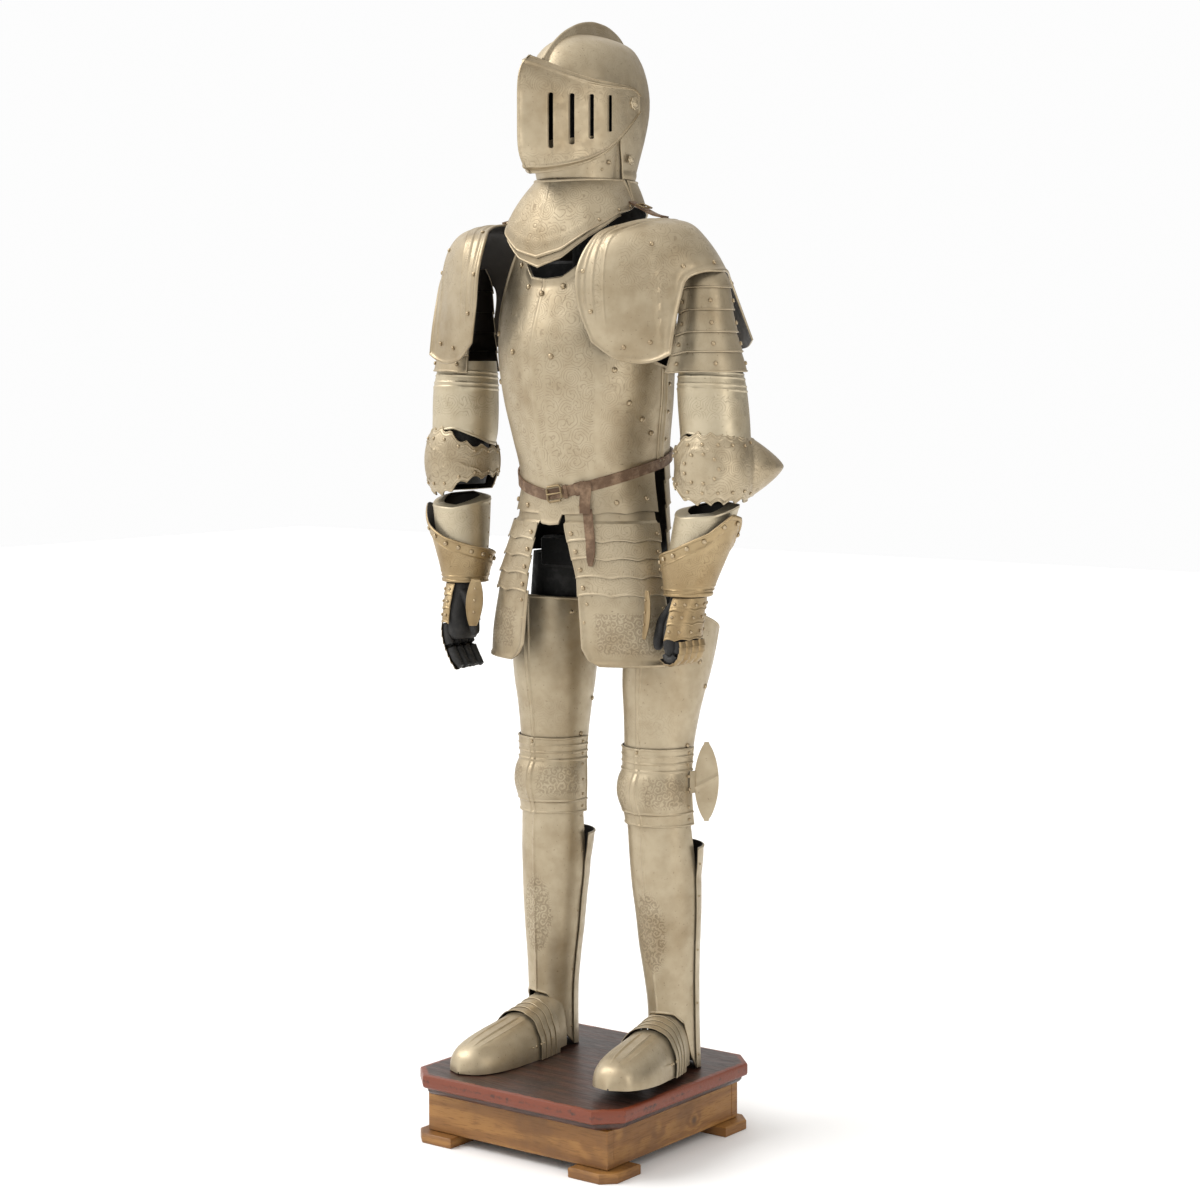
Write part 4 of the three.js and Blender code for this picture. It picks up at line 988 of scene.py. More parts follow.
def onFauld(a, v):
    low = fauldLow(abs(a)) + wave(a / fauld["side"], 3, 3.5) * clamp((abs(a) - 30) / 10)
    return onBody(a, mix(low, beltZ(a) - 2, v))


waist = sheet(onFauld, (-fauld["side"], fauld["side"]), (0, 1), step=5, fineV=(0,),
              fineU=(-10, -7, 0, 7, 10),
              relief=lambda a, v, su, sv: roll(sv, *fauld["rim"]) * soft(a, -33, 33, 6),
              etch=lambda a, v, su, sv: 0.55 * soft(v, 0.1, 0.8, 0.1))
makePiece("waist_plate", [waist], steel, "root", ["fauld"])
skirt = []
for k in range(culet["lames"]):
    def skirtLame(a, v, k=k):
        first, last = culet["low"], beltZ(a) - 2
        low = mix(first, last, k / culet["lames"]) + wave((a - 98) / 164, 6, 3) * (k > 0)
        high = mix(first, last, (k + 1) / culet["lames"])
        high += culet["overlap"] if k < culet["lames"] - 1 else 0
        z = mix(low, high, v)
        return onBody(a, z, -6 * (1 - (z - first) / 130) + 1.4 - 2.6 * v)
    skirt.append(sheet(skirtLame, (98, 262), (0, 1), wall=1.5, rims="abc", step=7,
                       rimSize=(3.5, 0.9), etch=lambda a, v, su, sv: 0.35))
makePiece("skirt_lames", skirt, steel, "root", ["culet"])
for a in (-74, -50, -24, 24, 50, 74):
    rivet("root", onFauld, a, 0.3, 1.4, proud=1.0)
for a in (110, 140, 180, 220, 250):
    rivet("root", lambda q, z: onBody(q, z, -2), a, 1030, 1.0)

# belt
beltSettings = {"tall": 18, "drop": 3, "lift": 5.2, "at": 7, "buckle": (28, 25, 2.0)}


def onBelt(a, v, lift=beltSettings["lift"]):
    half = beltSettings["tall"] / 2
    return onBody(a, beltZ(a) - beltSettings["drop"] + mix(-half, half, v), lift)


def beltRelief(a, v, su, sv):
    # flat grooves by both edges, and slight waves from wear
    return -0.5 * bead(sv, 2.6, 1.8, 1.0) - 0.5 * bead(sv, 15.4, 1.8, 1.0) \
        + 0.35 * math.sin(su * 0.11) * math.sin(su * 0.037)


strap = sheet(onBelt, (-180, 180), (0, 1), wall=wallLeather, ring=True, step=5,
              relief=beltRelief, fineV=(0.15, 0.85))
makePiece("waist_belt", [strap], strapHide, "root", ["belt"])


def frameAt(a, lift):
    # place and axes at a point of the belt: along, outward, up
    p = np.array(onBelt(a, 0.5, lift))
    out = np.array(onBelt(a, 0.5, lift + 10)) - p
    out[2] = 0
    out /= np.linalg.norm(out)
    along = np.array(onBelt(a + 2, 0.5, lift)) - np.array(onBelt(a - 2, 0.5, lift))
    along -= out * along.dot(out)
    along /= np.linalg.norm(along)
    return p, np.array([along, -out, np.cross(along, -out)])


def rod(points, radius, side=1, count=8, taper=None):
    # a round bar along points
    pts = [np.array(p, float) for p in points]
    loops = []
    refer = np.array([0.0, 0.0, 1.0])
    for i, p in enumerate(pts):
        t = pts[min(i + 1, len(pts) - 1)] - pts[max(i - 1, 0)]
        t /= np.linalg.norm(t)
        ref = refer if abs(t[2]) < 0.9 else np.array([1.0, 0.0, 0.0])
        x = np.cross(ref, t)
        x /= np.linalg.norm(x)
        y = np.cross(t, x)
        r = radius * (taper[i] if taper else 1)
        loops.append([tuple(p + r * (math.cos(k * 2 * math.pi / count) * x
                                     + math.sin(k * 2 * math.pi / count) * y))
                      for k in range(count)])
    return rings(loops, side)


def buckleParts(p, axes, wide, tall, radius, tongue=True):
    def q(x, y, z):
        return p + x * axes[0] + y * axes[1] + z * axes[2]
    w, h = wide / 2, tall / 2
    loop = [q(-w, 0, -h * 0.7), q(-w * 0.8, 0, -h), q(w * 0.8, -1, -h), q(w, -1.4, -h * 0.7),
            q(w, -1.4, h * 0.7), q(w * 0.8, -1, h), q(-w * 0.8, 0, h), q(-w, 0, h * 0.7),
            q(-w, 0, -h * 0.72)]
    parts = [rod(loop, radius)]
    if tongue:
        parts.append(rod([q(-w, -1.2, 0), q(-w * 0.3, -3.0, 0), q(w + 1.5, -3.4, 0)],
                         radius * 0.75, taper=[1.2, 1, 0.7]))
    return parts


p, axes = frameAt(beltSettings["at"], beltSettings["lift"] + 2.6)
makePiece("belt_buckle_frame", buckleParts(p, axes, *beltSettings["buckle"]), brass, "root",
          ["belt_buckle"])
p, axes = frameAt(15, beltSettings["lift"] + 1.4)
keeper = [block((7, 2.4, 23), p, 0.8, axes)]
p, axes = frameAt(26, beltSettings["lift"] + 2.4)
keeper.append(block((20, 4.0, 22), p, 1.6, axes))
makePiece("belt_keeper", keeper, strapHide, "root", [])

# the belt's loose end: a hidden upper stretch on the body, and a tip that rides on the tasset
tail = {"x": 70, "step": 10, "wide": 20, "upper": 1141, "split": 1088, "lap": 1095, "end": 1000,
        "curlFrom": 1030}


def onTail(u, z, lift, width=1.0):
    x = tail["x"] + (1130 - z) / 130 * tail["step"] + mix(-1, 1, u) * tail["wide"] / 2 * width
    x += 1.2 * math.sin(z * 0.05)
    f = body(z) if z > 1100 else hip(z)
    a = math.asin(x / (f["rx"] + lift))
    return (x, f["y"] - (f["rf"] + lift) * math.cos(a), z)


tailLength = tail["upper"] - tail["split"]
upperEnd = sheet(lambda u, z: onTail(u, z, mix(16.5, 10, (z - tail["split"]) / tailLength), 0.8),
                 (0, 1), (tail["split"], tail["upper"]), wall=wallLeather, step=3,
                 relief=lambda u, z, su, sv: 0.8 * math.sin(z * 0.16))
makePiece("belt_end_top", [upperEnd], strapHide, "root", ["belt_loose_end"])
lowerEnd = sheet(lambda u, z: onTail(u, z, 9.8 + 0.4 * math.sin(z * 0.12),
                                     0.72 - 0.42 * clamp((tail["curlFrom"] - z) / 30) ** 2),
                 (0, 1), (tail["end"], tail["lap"]), wall=2.4, step=3)
makePiece("belt_end_tip", [lowerEnd], strapHide, "tasset_l", ["belt_tail"])

# tassets
tassetSettings = {"lames": 4, "last": 950, "top": 1070, "tuck": 1096, "waves": 3, "depth": 4.0}


def makeTasset(side, sign):
    n, last, top = tassetSettings["lames"], tassetSettings["last"], tassetSettings["top"]
    parts = []
    for k in range(n):
        low, high = mix(last, top, k / n), mix(last, top, (k + 1) / n)
        final = k == n - 1

        def lame(u, v, low=low, high=high, final=final):
            z0 = low + wave(u, tassetSettings["waves"], tassetSettings["depth"]) - 1.5
            z1 = high if final else high + 4
            z = mix(z0, z1, v)
            return onTasset(u, z, 3 + mix(2.6, -0.6, v))
        parts.append(sheet(lame, (0, 1), (0, 1), wall=1.5, rims="abc", step=5, side=sign,
                           rimSize=(3.2, 0.9), fineV=(0.2,),
                           relief=lambda u, v, su, sv: bead(sv, 7.5, 2.2, 0.35),
                           etch=lambda u, v, su, sv: 0.76 * soft(u, 0.06, 0.94, 0.03)))
    hidden = sheet(lambda u, z: onTasset(u, z, 3 - 7.8), (0, 1), (top + 3, tassetSettings["tuck"]),
                   step=7, side=sign)
    parts.append(hidden)
    neck = sheet(lambda u, v: onTasset(u, mix(top - 4, top + 4, v), mix(1.8, -4.2, v)),
                 (0, 1), (0, 1), step=5, side=sign)
    parts.append(neck)
    makePiece("tasset_bands_" + side, parts, steel, "tasset_" + side, ["tasset_lames_" + side])

    def lastLame(u, z):
        return onTasset(u, z, 1.8 + 0.008 * (880 - z))
    deep = sheet(lastLame, (0, 1), (832, 953), rims="abc", step=5, side=sign,
                 rimSize=(7.5, 2.4), etch=lambda u, z, su, sv: 1.0 * soft(u, 0.1, 0.9, 0.05)
                 * soft(z, 848, 925, 6) + 0.5 * soft(z, 930, 945, 2))
    makePiece("tasset_plate_" + side, [deep], steel, "tasset_" + side, ["tasset_" + side])
    for k in range(n):
        z = mix(last, top, (k + 0.45) / n)
        for u in (0.06, 0.94):
            rivet("tasset_" + side, lambda u_, q: onTasset(u_, q, 5), u, z, 1.2, sign, 1.0)
    for u, z in ((0.08, 936), (0.92, 930), (0.04, 905)):
        rivet("tasset_" + side, lastLame, u, z, 0.9, sign)


for side, sign in sides:
    makeTasset(side, sign)
print("torso done")

# head
headSettings = {"slits": ((33, 5.6), (53, 5.2), (71, 4.3), (86, 3.2)), "slitTop": 1776,
                "slitLow": (1686, 1693, 1703, 1716), "comb": (7.0, 2.2), "crown": 1884.6,
                "slitReach": (-34, -220)}
combTop = [(-114, 1836), (-84, 1866), (-46, 1890), (-6, 1904), (28, 1908), (64, 1904),
           (98, 1890), (122, 1866), (140, 1828), (144, 1780)]
combLow = [(-112, 1826), (-84, 1850), (-52, 1868), (-18, 1879), (16, 1882), (52, 1878),
           (78, 1868), (100, 1846), (118, 1812), (124, 1776)]


def onSkull(a, v):
    # the face edge reaches a little under the visor
    face = clamp((82 - abs(a)) / 6)
    z = mix(skullLow(abs(a)) - 9 * face, headSettings["crown"], v ** 0.72)
    return onHead(a, z, -1.6 * face * clamp((1820 - z) / 14))


def makeSkull():
    skull = sheet(onSkull, (-180, 180), (0, 1), ring=True, rims="c", step=6, rimSize=(4.5, 1.4),
                  etch=lambda a, v, su, sv: 0.3 * soft(v, 0.08, 0.9, 0.05))
    top = reader("i y z", [(i, y, z) for i, (y, z) in enumerate(combTop)])
    low = reader("i y z", [(i, y, z) for i, (y, z) in enumerate(combLow)])
    wide, thin = headSettings["comb"]
    loops, marks = [], []
    for i in range(46):
        k = i / 5
        t, b = top(k), low(k)
        loop, mark = [], []
        for j in reversed(range(15)):
            q = j / 14 * math.pi
            h = math.sin(q) ** 0.6
            x = math.cos(q)
            cord = 0.2 * math.sin(k * 26 + 4) if h > 0.9 else 0
            half = mix(wide, thin, h) * x if h < 0.86 else x * (thin + 1.6)
            loop.append((half, mix(b["y"], t["y"], h), mix(b["z"], t["z"], h) + cord))
            mark.append(0.7 if 0.15 < h < 0.8 else 0)
        loops.append(loop)
        marks.append(mark)
    comb = rings(loops, marks=marks)
    makePiece("helmet_shell", [skull, comb], steel, "root", ["helmet_skull"])


def punch(obj, cutters):
    # cuts holes with exact booleans and keeps the result
    tool = makeMesh("cutter", cutters)[0]
    cut = obj.modifiers.new("holes", "BOOLEAN")
    cut.operation, cut.solver, cut.object = "DIFFERENCE", "EXACT", tool
    bpy.context.view_layer.update()
    done = bpy.data.meshes.new_from_object(obj.evaluated_get(
        bpy.context.evaluated_depsgraph_get()))
    obj.modifiers.remove(cut)
    obj.data = done
    done.set_sharp_from_angle(angle=40 * deg)
    bpy.data.objects.remove(tool)


def rosette(y, z, r, inward, sign):
    # a turned boss with eight petals
    loops = []
    for out, reach in ((0, 1), (2.4, 1), (3.6, 0.82), (3.2, 0.66), (4.8, 0.5), (6.2, 0.34),
                       (6.6, 0.12)):
        turns = [(k * math.pi / 24, 1 + 0.07 * math.cos(k * math.pi / 3)) for k in range(48)]
        loops.append([(pivot[0] - 1.8 - inward + out * r / 11,
                       y + r * reach * petal * math.cos(q),
                       z + r * reach * petal * math.sin(q)) for q, petal in turns])
    return rings(loops, sign)


def makeVisor():
    def visorRelief(t, v, su, sv):
        edge = bead(abs(t), 2.1, 0.32, 0.5) * soft(v, 0.06, 0.94, 0.04)
        border = bead(v, 0.055, 0.05, 2.4) + bead(v, 0.945, 0.045, 2.4)
        return bead(abs(t) * 20, 0, 12, 1.2) + edge + border

    def visorEtch(t, v, su, sv):
        band = soft(v, 0.70, 0.93, 0.02) + 0.9 * soft(v, 0.05, 0.18, 0.02)
        return 0.55 * clamp(band + 0.7 * soft(abs(t), 4.9, 7.6, 0.2))
    plate = sheet(onVisor, (-8, 8), (0, 1), wall=1.8, rims="abcd", step=3.6,
                  rimSize=(4.5, 1.0), relief=visorRelief, etch=visorEtch,
                  fineU=(-2.1, 0, 2.1), fineV=(0.055, 0.945))
    shield = makePiece("face_guard", [plate], steel, "visor", ["visor"])
    cutters, top, (near, far) = [], headSettings["slitTop"], headSettings["slitReach"]
    arc = [k * math.pi / 8 for k in range(9)]
    for (x, wide), low in zip(headSettings["slits"], headSettings["slitLow"]):
        r = wide / 2
        outline = [(x + r * math.cos(q), top - r + r * math.sin(q)) for q in arc]
        outline += [(x - r * math.cos(q), low + r - r * math.sin(q)) for q in arc]
        cutters += [rings([[(px, y, pz) for px, pz in outline] for y in (near, far)], sign)
                    for sign in (1, -1)]
    punch(shield, cutters)
    bolts = [rosette(pivot[1], pivot[2], 11, 0, sign) for sign in (1, -1)]
    makePiece("face_bolts", bolts, steel, "visor")
    latches = [rosette(pivot[1] + 6, pivot[2] - 92, 8, 10.5, sign) for sign in (1, -1)]
    makePiece("chin_latches", latches, steel, "root")


def makeChin():
    bevorTop = line([(0, 1700), (40, 1706), (62, 1712), (76, 1724)])

    def onChin(a, v):
        # its ends tuck under the skull
        z = mix(1641.4, bevorTop(min(abs(a), 76)), v)
        return onHead(a, z, 0.5 - 4.2 * clamp((abs(a) - 71) / 6))
    chin = sheet(onChin, (-86, 86), (0, 1), step=5, fineU=(-74, 0, 74),
                 relief=lambda a, v, su, sv: bead(sv, 3, 5, 1.3) + bead(sv, 13, 4, 0.7),
                 etch=lambda a, v, su, sv: 0.6 * soft(v, 0.3, 0.95, 0.03))
    makePiece("chin_guard", [chin], steel, "root", ["bevor"])
    for a in (-66, 66):
        rivet("root", lambda q, z: onHead(q, z, 0.5), a, 1668, 1.2, proud=1.0)
        rivet("root", lambda q, z: onHead(q, z, 0.5), a * 0.9, 1656, 0.8)


def makeGorget():
    front = sheet(onGorget, (-86, 86), (0, 1), rims="abcd", step=6, fineU=(0,), fineV=(0.30,),
                  rimSize=(5.5, 2.0), relief=lambda a, v, su, sv: bead(sv, 24, 4, 0.7)
                  + bead(abs(a) * 1.8, 0, 9, 0.7),
                  etch=lambda a, v, su, sv: 0.75 * soft(v, 0.06, 0.9, 0.03))
    under = sheet(lambda a, v: onGorget(a, mix(0, 0.2, v), -3.2, mix(15, 4, v) * (1 - abs(a) / 90)),
                  (-62, 62), (0, 1), wall=1.5, rims="c", step=5, rimSize=(4, 1.0))
    makePiece("neck_plate", [front, under], steel, "root", ["gorget_front"])
    rear = sheet(onGorget, (89, 271), (0, 1), rims="abcd", step=7, rimSize=(5.5, 2.0),
                 relief=lambda a, v, su, sv: bead(sv, 24, 4, 0.7),
                 etch=lambda a, v, su, sv: 0.5 * soft(v, 0.08, 0.9, 0.05))
    makePiece("neck_plate_rear", [rear], steel, "root", ["gorget_rear"])
    for a in (-76, -60, -44, 44, 60, 76):
        rivet("root", onGorget, a, 0.12, 0.95)
    for a in (100, 130, 180, 230, 260):
        rivet("root", onGorget, a, 0.14, 0.95)


for make in (makeSkull, makeVisor, makeChin, makeGorget):
    make()
print("head done")

# shoulders and arms
armSettings = {"lameEnds": ((1322, 1358), (1354, 1390), (1386, 1426), (1422, 1462),
                            (1458, 1500)),
               "elbow": (269, 0, 1166), "copRadius": 67.5, "upperTop": 1340, "lowerEnd": 1002,
               "cuffEnd": 956, "boss": {"at": 12, "border": 34, "plain": 29, "rivets": 27}}
lameStack = reader("z x y r", [(1322, 255, 2, 61), (1340, 254, 1.5, 58.5), (1356, 252.5, 1, 56),
                               (1388, 250, 0, 50.5), (1424, 248, 0, 46), (1460, 246, 0, 43),
                               (1476, 245, 0, 39), (1490, 243, 0, 32), (1500, 240, 0, 24)])
elbowHalf = line([(-118, 28), (-90, 30), (-53, 34), (-36, 42), (-17, 58), (0, 62), (60, 60),
                  (110, 56), (160, 54), (212, 50)])
upperLow = line([(-180, 1186), (-90, 1196), (-20, 1222), (50, 1212), (100, 1190), (180, 1186)])
lowerTop = line([(-180, 1108), (-90, 1098), (-20, 1086), (50, 1090), (100, 1104), (180, 1108)])
cuffTop = line([(-180, 1012), (-127, 1006), (-50, 1022), (0, 1036), (50, 1062), (78, 1092),
                (100, 1086), (127, 1058), (180, 1012)])


def onCop(a, v):
    cx, cy, cz = armSettings["elbow"]
    half = elbowHalf(a)
    if a < 100:
        half -= 8.0 * abs(math.sin(math.pi * (a + 118) / 24))
    dz = mix(-half, half, v)
    cone = 62 * max(0, 1 - math.hypot((a - 153) / 52, dz / 56))
    wingOut = 8 * max(0, 1 - abs(a + 20) / 80) * abs(2 * v - 1) ** 1.5
    r = math.sqrt(armSettings["copRadius"] ** 2 - (0.8 * dz) ** 2) + cone + wingOut
    return (cx + r * math.sin(a * deg), cy - r * math.cos(a * deg), cz + dz)


def onCuff(a, v):
    z = mix(armSettings["cuffEnd"], cuffTop(a), v)
    rise = (z - armSettings["cuffEnd"]) / 92
    r = 39 + 25 * rise ** 1.1
    return (237 + 8 * rise + r * math.sin(a * deg), -32 + 12 * rise - r * math.cos(a * deg), z)


palm = reader("z x y rx ry", [(884, 234, -45, 27, 44), (905, 236, -42, 27, 43),
                              (930, 237, -38, 28, 40), (954, 238, -33, 31, 36)])


def onPalm(a, z, lift=0):
    f = palm(z)
    return (f["x"] + (f["rx"] + lift) * math.sin(a * deg),
            f["y"] - (f["ry"] + lift) * math.cos(a * deg), z)


fingerPaths = {"l": [(257, 884), (257, 868), (250, 851), (236, 842), (220, 844), (210, 855)],
               "r": [(256, 884), (256, 868), (252, 850), (244, 832), (234, 815), (222, 802)]}
fingerSettings = {"y0": -80, "y1": -6, "count": 4, "scales": 7, "high": 4.0}


def alongPath(points):
    # smooth path through points by length, and its turned-out normal
    p = np.array(points, float)
    s = np.concatenate([[0], np.cumsum(np.linalg.norm(np.diff(p, axis=0), axis=1))])
    read = reader("s x z", [(s[i], p[i][0], p[i][1]) for i in range(len(p))])

    def at(d):
        d = clamp(d, 0, s[-1])
        q = read(d)
        f, b = read(min(d + 0.5, s[-1])), read(max(d - 0.5, 0))
        tx, tz = f["x"] - b["x"], f["z"] - b["z"]
        k = math.hypot(tx, tz)
        return (q["x"], q["z"]), (-tz / k, tx / k)
    return at, s[-1]


def makeShoulder(side, sign):
    def shoulderRelief(u, v, su, sv):
        # raised lines by the neck, and a flute at the outer corner of the front wing
        neck = (1 - u) * 150
        lines = bead(neck, 13, 5, 1.6) + bead(neck, 25, 5, 1.6) + bead(neck, 40, 4, 1.0)
        corner = bead(u * 150 - (0.98 - v) * 130 * 0.55, 22, 9, 2.2) * soft(v, 0.62, 0.97, 0.06)
        return lines * soft(v, 0.03, 0.9, 0.03) + corner + bead(u * 150, 13, 4, 0.8)

    def shoulderEtch(u, v, su, sv):
        fine = soft(v, 0.3, 0.8, 0.03) * soft(u, 0.12, 0.62, 0.04)
        return 0.76 * fine + 0.7 * soft(u, 0.76, 0.82, 0.01) * soft(v, 0.05, 0.88, 0.03)
    cover = sheet(onShoulder, (0, 1), (0, 1), rims="abcd", step=5, relief=shoulderRelief,
                  rimSize=(6.5, 2.4), side=sign, etch=shoulderEtch,
                  fineU=(0.74, 0.83, 0.91))
    makePiece("shoulder_plate_" + side, [cover], steel, "root", ["pauldron_" + side])
    for u, v in ((0.06, 0.2), (0.08, 0.45), (0.1, 0.62), (0.93, 0.78), (0.93, 0.6), (0.93, 0.4),
                 (0.6, 0.95), (0.3, 0.93), (0.87, 0.88), (0.4, 0.62), (0.93, 0.2), (0.5, 0.05)):
        rivet("root", onShoulder, u, v, 1.15, sign, 1.2)


def makeArmBands(side, sign):
    parts, ends = [], armSettings["lameEnds"]
    for k, (low, high) in enumerate(ends):
        def lame(a, v, low=low, high=high, k=k):
            # each lame comes to a low point at the front
            point = 9 * max(0, 1 - abs(a + 30) / 26)
            z = mix(low - point * (0.3 if k == 0 else 0.7), high, v)
            f = lameStack(clamp(z, ends[0][0], ends[-1][1]))
            r = f["r"] + 14 * max(0, -a / 38) * max(0, (1400 - z) / 78) + mix(1.2, -1.4, v)
            return (f["x"] + r * math.sin(a * deg), f["y"] - r * math.cos(a * deg),
                    max(z, ends[0][0] - 4))
        parts.append(sheet(lame, (-38, 200), (0, 1), wall=1.5, rims="abc", step=5, side=sign,
                           rimSize=(3.4, 1.2), relief=lambda a, v, su, sv: bead(sv, 8, 2.4, 0.4),
                           etch=lambda a, v, su, sv: 0.12))
        for a in (-20, 45, 120) if high < ends[-1][1] else ():
            rivet("root", lame, a, 0.4, 1.1, sign, 1.2)
    makePiece("arm_bands_" + side, parts, steel, "root", ["arm_lames_" + side])


def makeUpperArm(side, sign):
    def height(a, v):
        return mix(upperLow(a), armSettings["upperTop"], v)

    def upperRelief(a, v, su, sv):
        rise = 4 * math.cos(a * deg)
        return sum(bead(height(a, v), c + rise, 4.6, 1.3) for c in (1292, 1300, 1312, 1320))

    def upperEtch(a, v, su, sv):
        z = height(a, v)
        return 0.8 * soft(z, 1246, 1284, 2) + 0.5 * soft(z, 1304, 1309, 1)
    upper = sheet(lambda a, v: onArm(a, height(a, v), -1), (-180, 180), (0, 1), ring=True,
                  step=5.5, rims="c", side=sign, rimSize=(4, 1.0), relief=upperRelief,
                  etch=upperEtch, fineV=(0.68, 0.76, 0.84, 0.9))
    makePiece("upper_arm_" + side, [upper], armSteel, "root", ["upper_cannon_" + side])


def makeElbow(side, sign):
    boss = armSettings["boss"]

    def copRelief(a, v, su, sv):
        half = elbowHalf(a)
        dz = mix(-half, half, v)
        scallop = bead(abs(dz), half - 8, 4, 0.9)
        if sign < 0:
            cross = bead(abs(dz) - abs(a + 30) * 0.55, 0, 6, 2.0) * soft(a, -100, 100, 20)
        else:
            cross = bead(math.hypot(dz, a - boss["at"]) - boss["border"], 0, 6, 2.0)
        return scallop + cross

    def copEtch(a, v, su, sv):
        # only the left elbow has a round boss, left plain inside its border
        field = 0.8 * soft(v, 0.1, 0.9, 0.03) * soft(a, -110, 130, 8)
        away = math.hypot(mix(-1, 1, v) * elbowHalf(a), a - boss["at"])
        return field * (0.15 if sign > 0 and away < boss["plain"] else 1)
    cop = sheet(onCop, (-118, 212), (0, 1), step=3.4, rims="abcd", rimSize=(4, 1.4), side=sign,
                relief=copRelief, etch=copEtch, fineV=(0.1, 0.9))
    makePiece("elbow_cop_" + side, [cop], steel, "root", ["couter_" + side])
    for a in (-106, -82, -58, -34, -10, 14, 38, 62, 86, 110, 190):
        for v in (0.13, 0.87):
            rivet("root", onCop, a, v, 0.95, sign, 1.0)
    if sign > 0:
        for q in range(0, 360, 40):
            dz = boss["rivets"] * math.sin(q * deg)
            a = boss["at"] + boss["rivets"] * math.cos(q * deg)
            rivet("root", onCop, a, 0.5 + dz / 2 / elbowHalf(a), 0.9, sign, 1.4)
    # painted shade: a black tube inside the elbow, in the glove leather, stands for the dark hollow
    # between the arm plates
    lining = tube([(269, 0, 1126, 40, 40), (269, 0, 1150, 44, 44), (269, 0, 1188, 46, 46),
                   (268, 1, 1222, 44, 44)], sign, 12, 28)
    makePiece("elbow_lining_" + side, [lining], gloveHide, "root", [])


def makeForearm(side, sign):
    carrier, end = "forearm_" + side, armSettings["lowerEnd"]

    def onLower(a, v):
        # turns in at its upper edge
        top = lowerTop(a)
        z = mix(end, top + 4, v)
        return onArm(a, z, -20 * clamp((z - top) / 4) ** 0.8)
    lower = sheet(onLower, (-180, 180), (0, 1), ring=True, step=5, rims="c", side=sign,
                  fineV=(0.955, 0.975, 0.99), rimSize=(4, 1.1),
                  relief=lambda a, v, su, sv: bead(sv, 84, 4, 0.8),
                  etch=lambda a, v, su, sv: 0.5 * soft(v, 0.4, 0.9, 0.05))
    makePiece("lower_arm_" + side, [lower], armSteel, carrier, ["lower_cannon_" + side])
    for v in (0.15, 0.4, 0.65, 0.9):
        rivet(carrier, lambda a, q: onArm(a, mix(end, lowerTop(a), q)), -112, v, 0.6, sign)


def makeCuff(side, sign):
    carrier, end = "forearm_" + side, armSettings["cuffEnd"]

    def cuffRelief(a, v, su, sv):
        top = cuffTop(a)
        z = mix(end, top, v)
        return bead(top - z, 21, 5, 1.8) + bead(z, 967, 4, 1.4) + bead(z, 974, 3, 1.0)
    cuff = sheet(onCuff, (-180, 180), (0, 1), ring=True, step=4.5, rims="cd", side=sign,
                 rimSize=(5, 1.9), relief=cuffRelief, fineV=(0.12, 0.75),
                 etch=lambda a, v, su, sv: 0.77 * soft(v, 0.2, 0.7, 0.03))
    makePiece("cuff_" + side, [cuff], gauntletSteel, carrier, ["gauntlet_cuff_" + side])
    for a in range(-170, 180, 24):
        top = cuffTop(a)
        rivet(carrier, onCuff, a, (top - 11 - end) / (top - end), 1.25, sign, 1.6)


def makeHandBands(side, sign):
    carrier, parts = "forearm_" + side, []
    for low, high in ((885, 913), (909, 936), (932, 954)):
        def lame(a, v, low=low, high=high):
            z = mix(low + wave((a + 12) / 202, 5, 3), high, v)
            return onPalm(a, z, mix(1.0, -0.8, v))
        parts.append(sheet(lame, (-12, 190), (0, 1), wall=1.3, step=4, rims="abc", side=sign,
                           rimSize=(2.6, 0.7), etch=lambda a, v, su, sv: 0.35,
                           relief=lambda a, v, su, sv: bead(sv, 6, 2, 0.3)))
        for a in (4, 36, 70, 104, 138, 172):
            rivet(carrier, lame, a, 0.5, 0.85, sign, 0.9)
    makePiece("hand_bands_" + side, parts, gauntletSteel, carrier, ["gauntlet_hand_" + side])


def fingerParts(side, sign):
    # steel scales over the backs of the fingers, and the glove's fingers under them
    at, length = alongPath(fingerPaths[side])
    n, y0, y1 = fingerSettings["count"], fingerSettings["y0"], fingerSettings["y1"]
    wide = (y1 - y0) / n
    scales, tubes = [], []
    for k in range(n):
        yc = y0 + wide * (k + 0.5)
        taper = 11 * (k / (n - 1)) * 0.3
        m = fingerSettings["scales"]
        reach = length - taper - 3
        for j in range(m):
            def scale(u, v, j=j, yc=yc):
                near, far = reach * j / m - 2 * (j > 0), reach * (j + 1) / m
                tip = 2.2 * (1 - (u / 76) ** 2)
                d = mix(far - 2 + tip, near, v)
                (x, z), (nx, nz) = at(d)
                h = fingerSettings["high"] * math.cos(u * deg) + mix(0.5, -1.0, v)
                y = yc + (wide / 2 - 0.2) * math.sin(u * deg) / math.sin(76 * deg)
                return (x + nx * (h - 4.2), y, z + nz * (h - 4.2))
            scales.append(sheet(scale, (-76, 76), (0, 1), wall=1.1, step=2.6, rims="c",
                                rimSize=(1.6, 0.35), side=sign))
        spots = [at(d)[0] + at(d)[1] for d in np.linspace(0, length - 1, 12)]
        middle = [(x - nx * 10.4, yc, z - nz * 10.4) for x, z, nx, nz in spots]
        tubes.append(rod(middle, 8.0, sign, 12, [1.0] * 9 + [0.96, 0.86, 0.6]))
    return scales, tubes


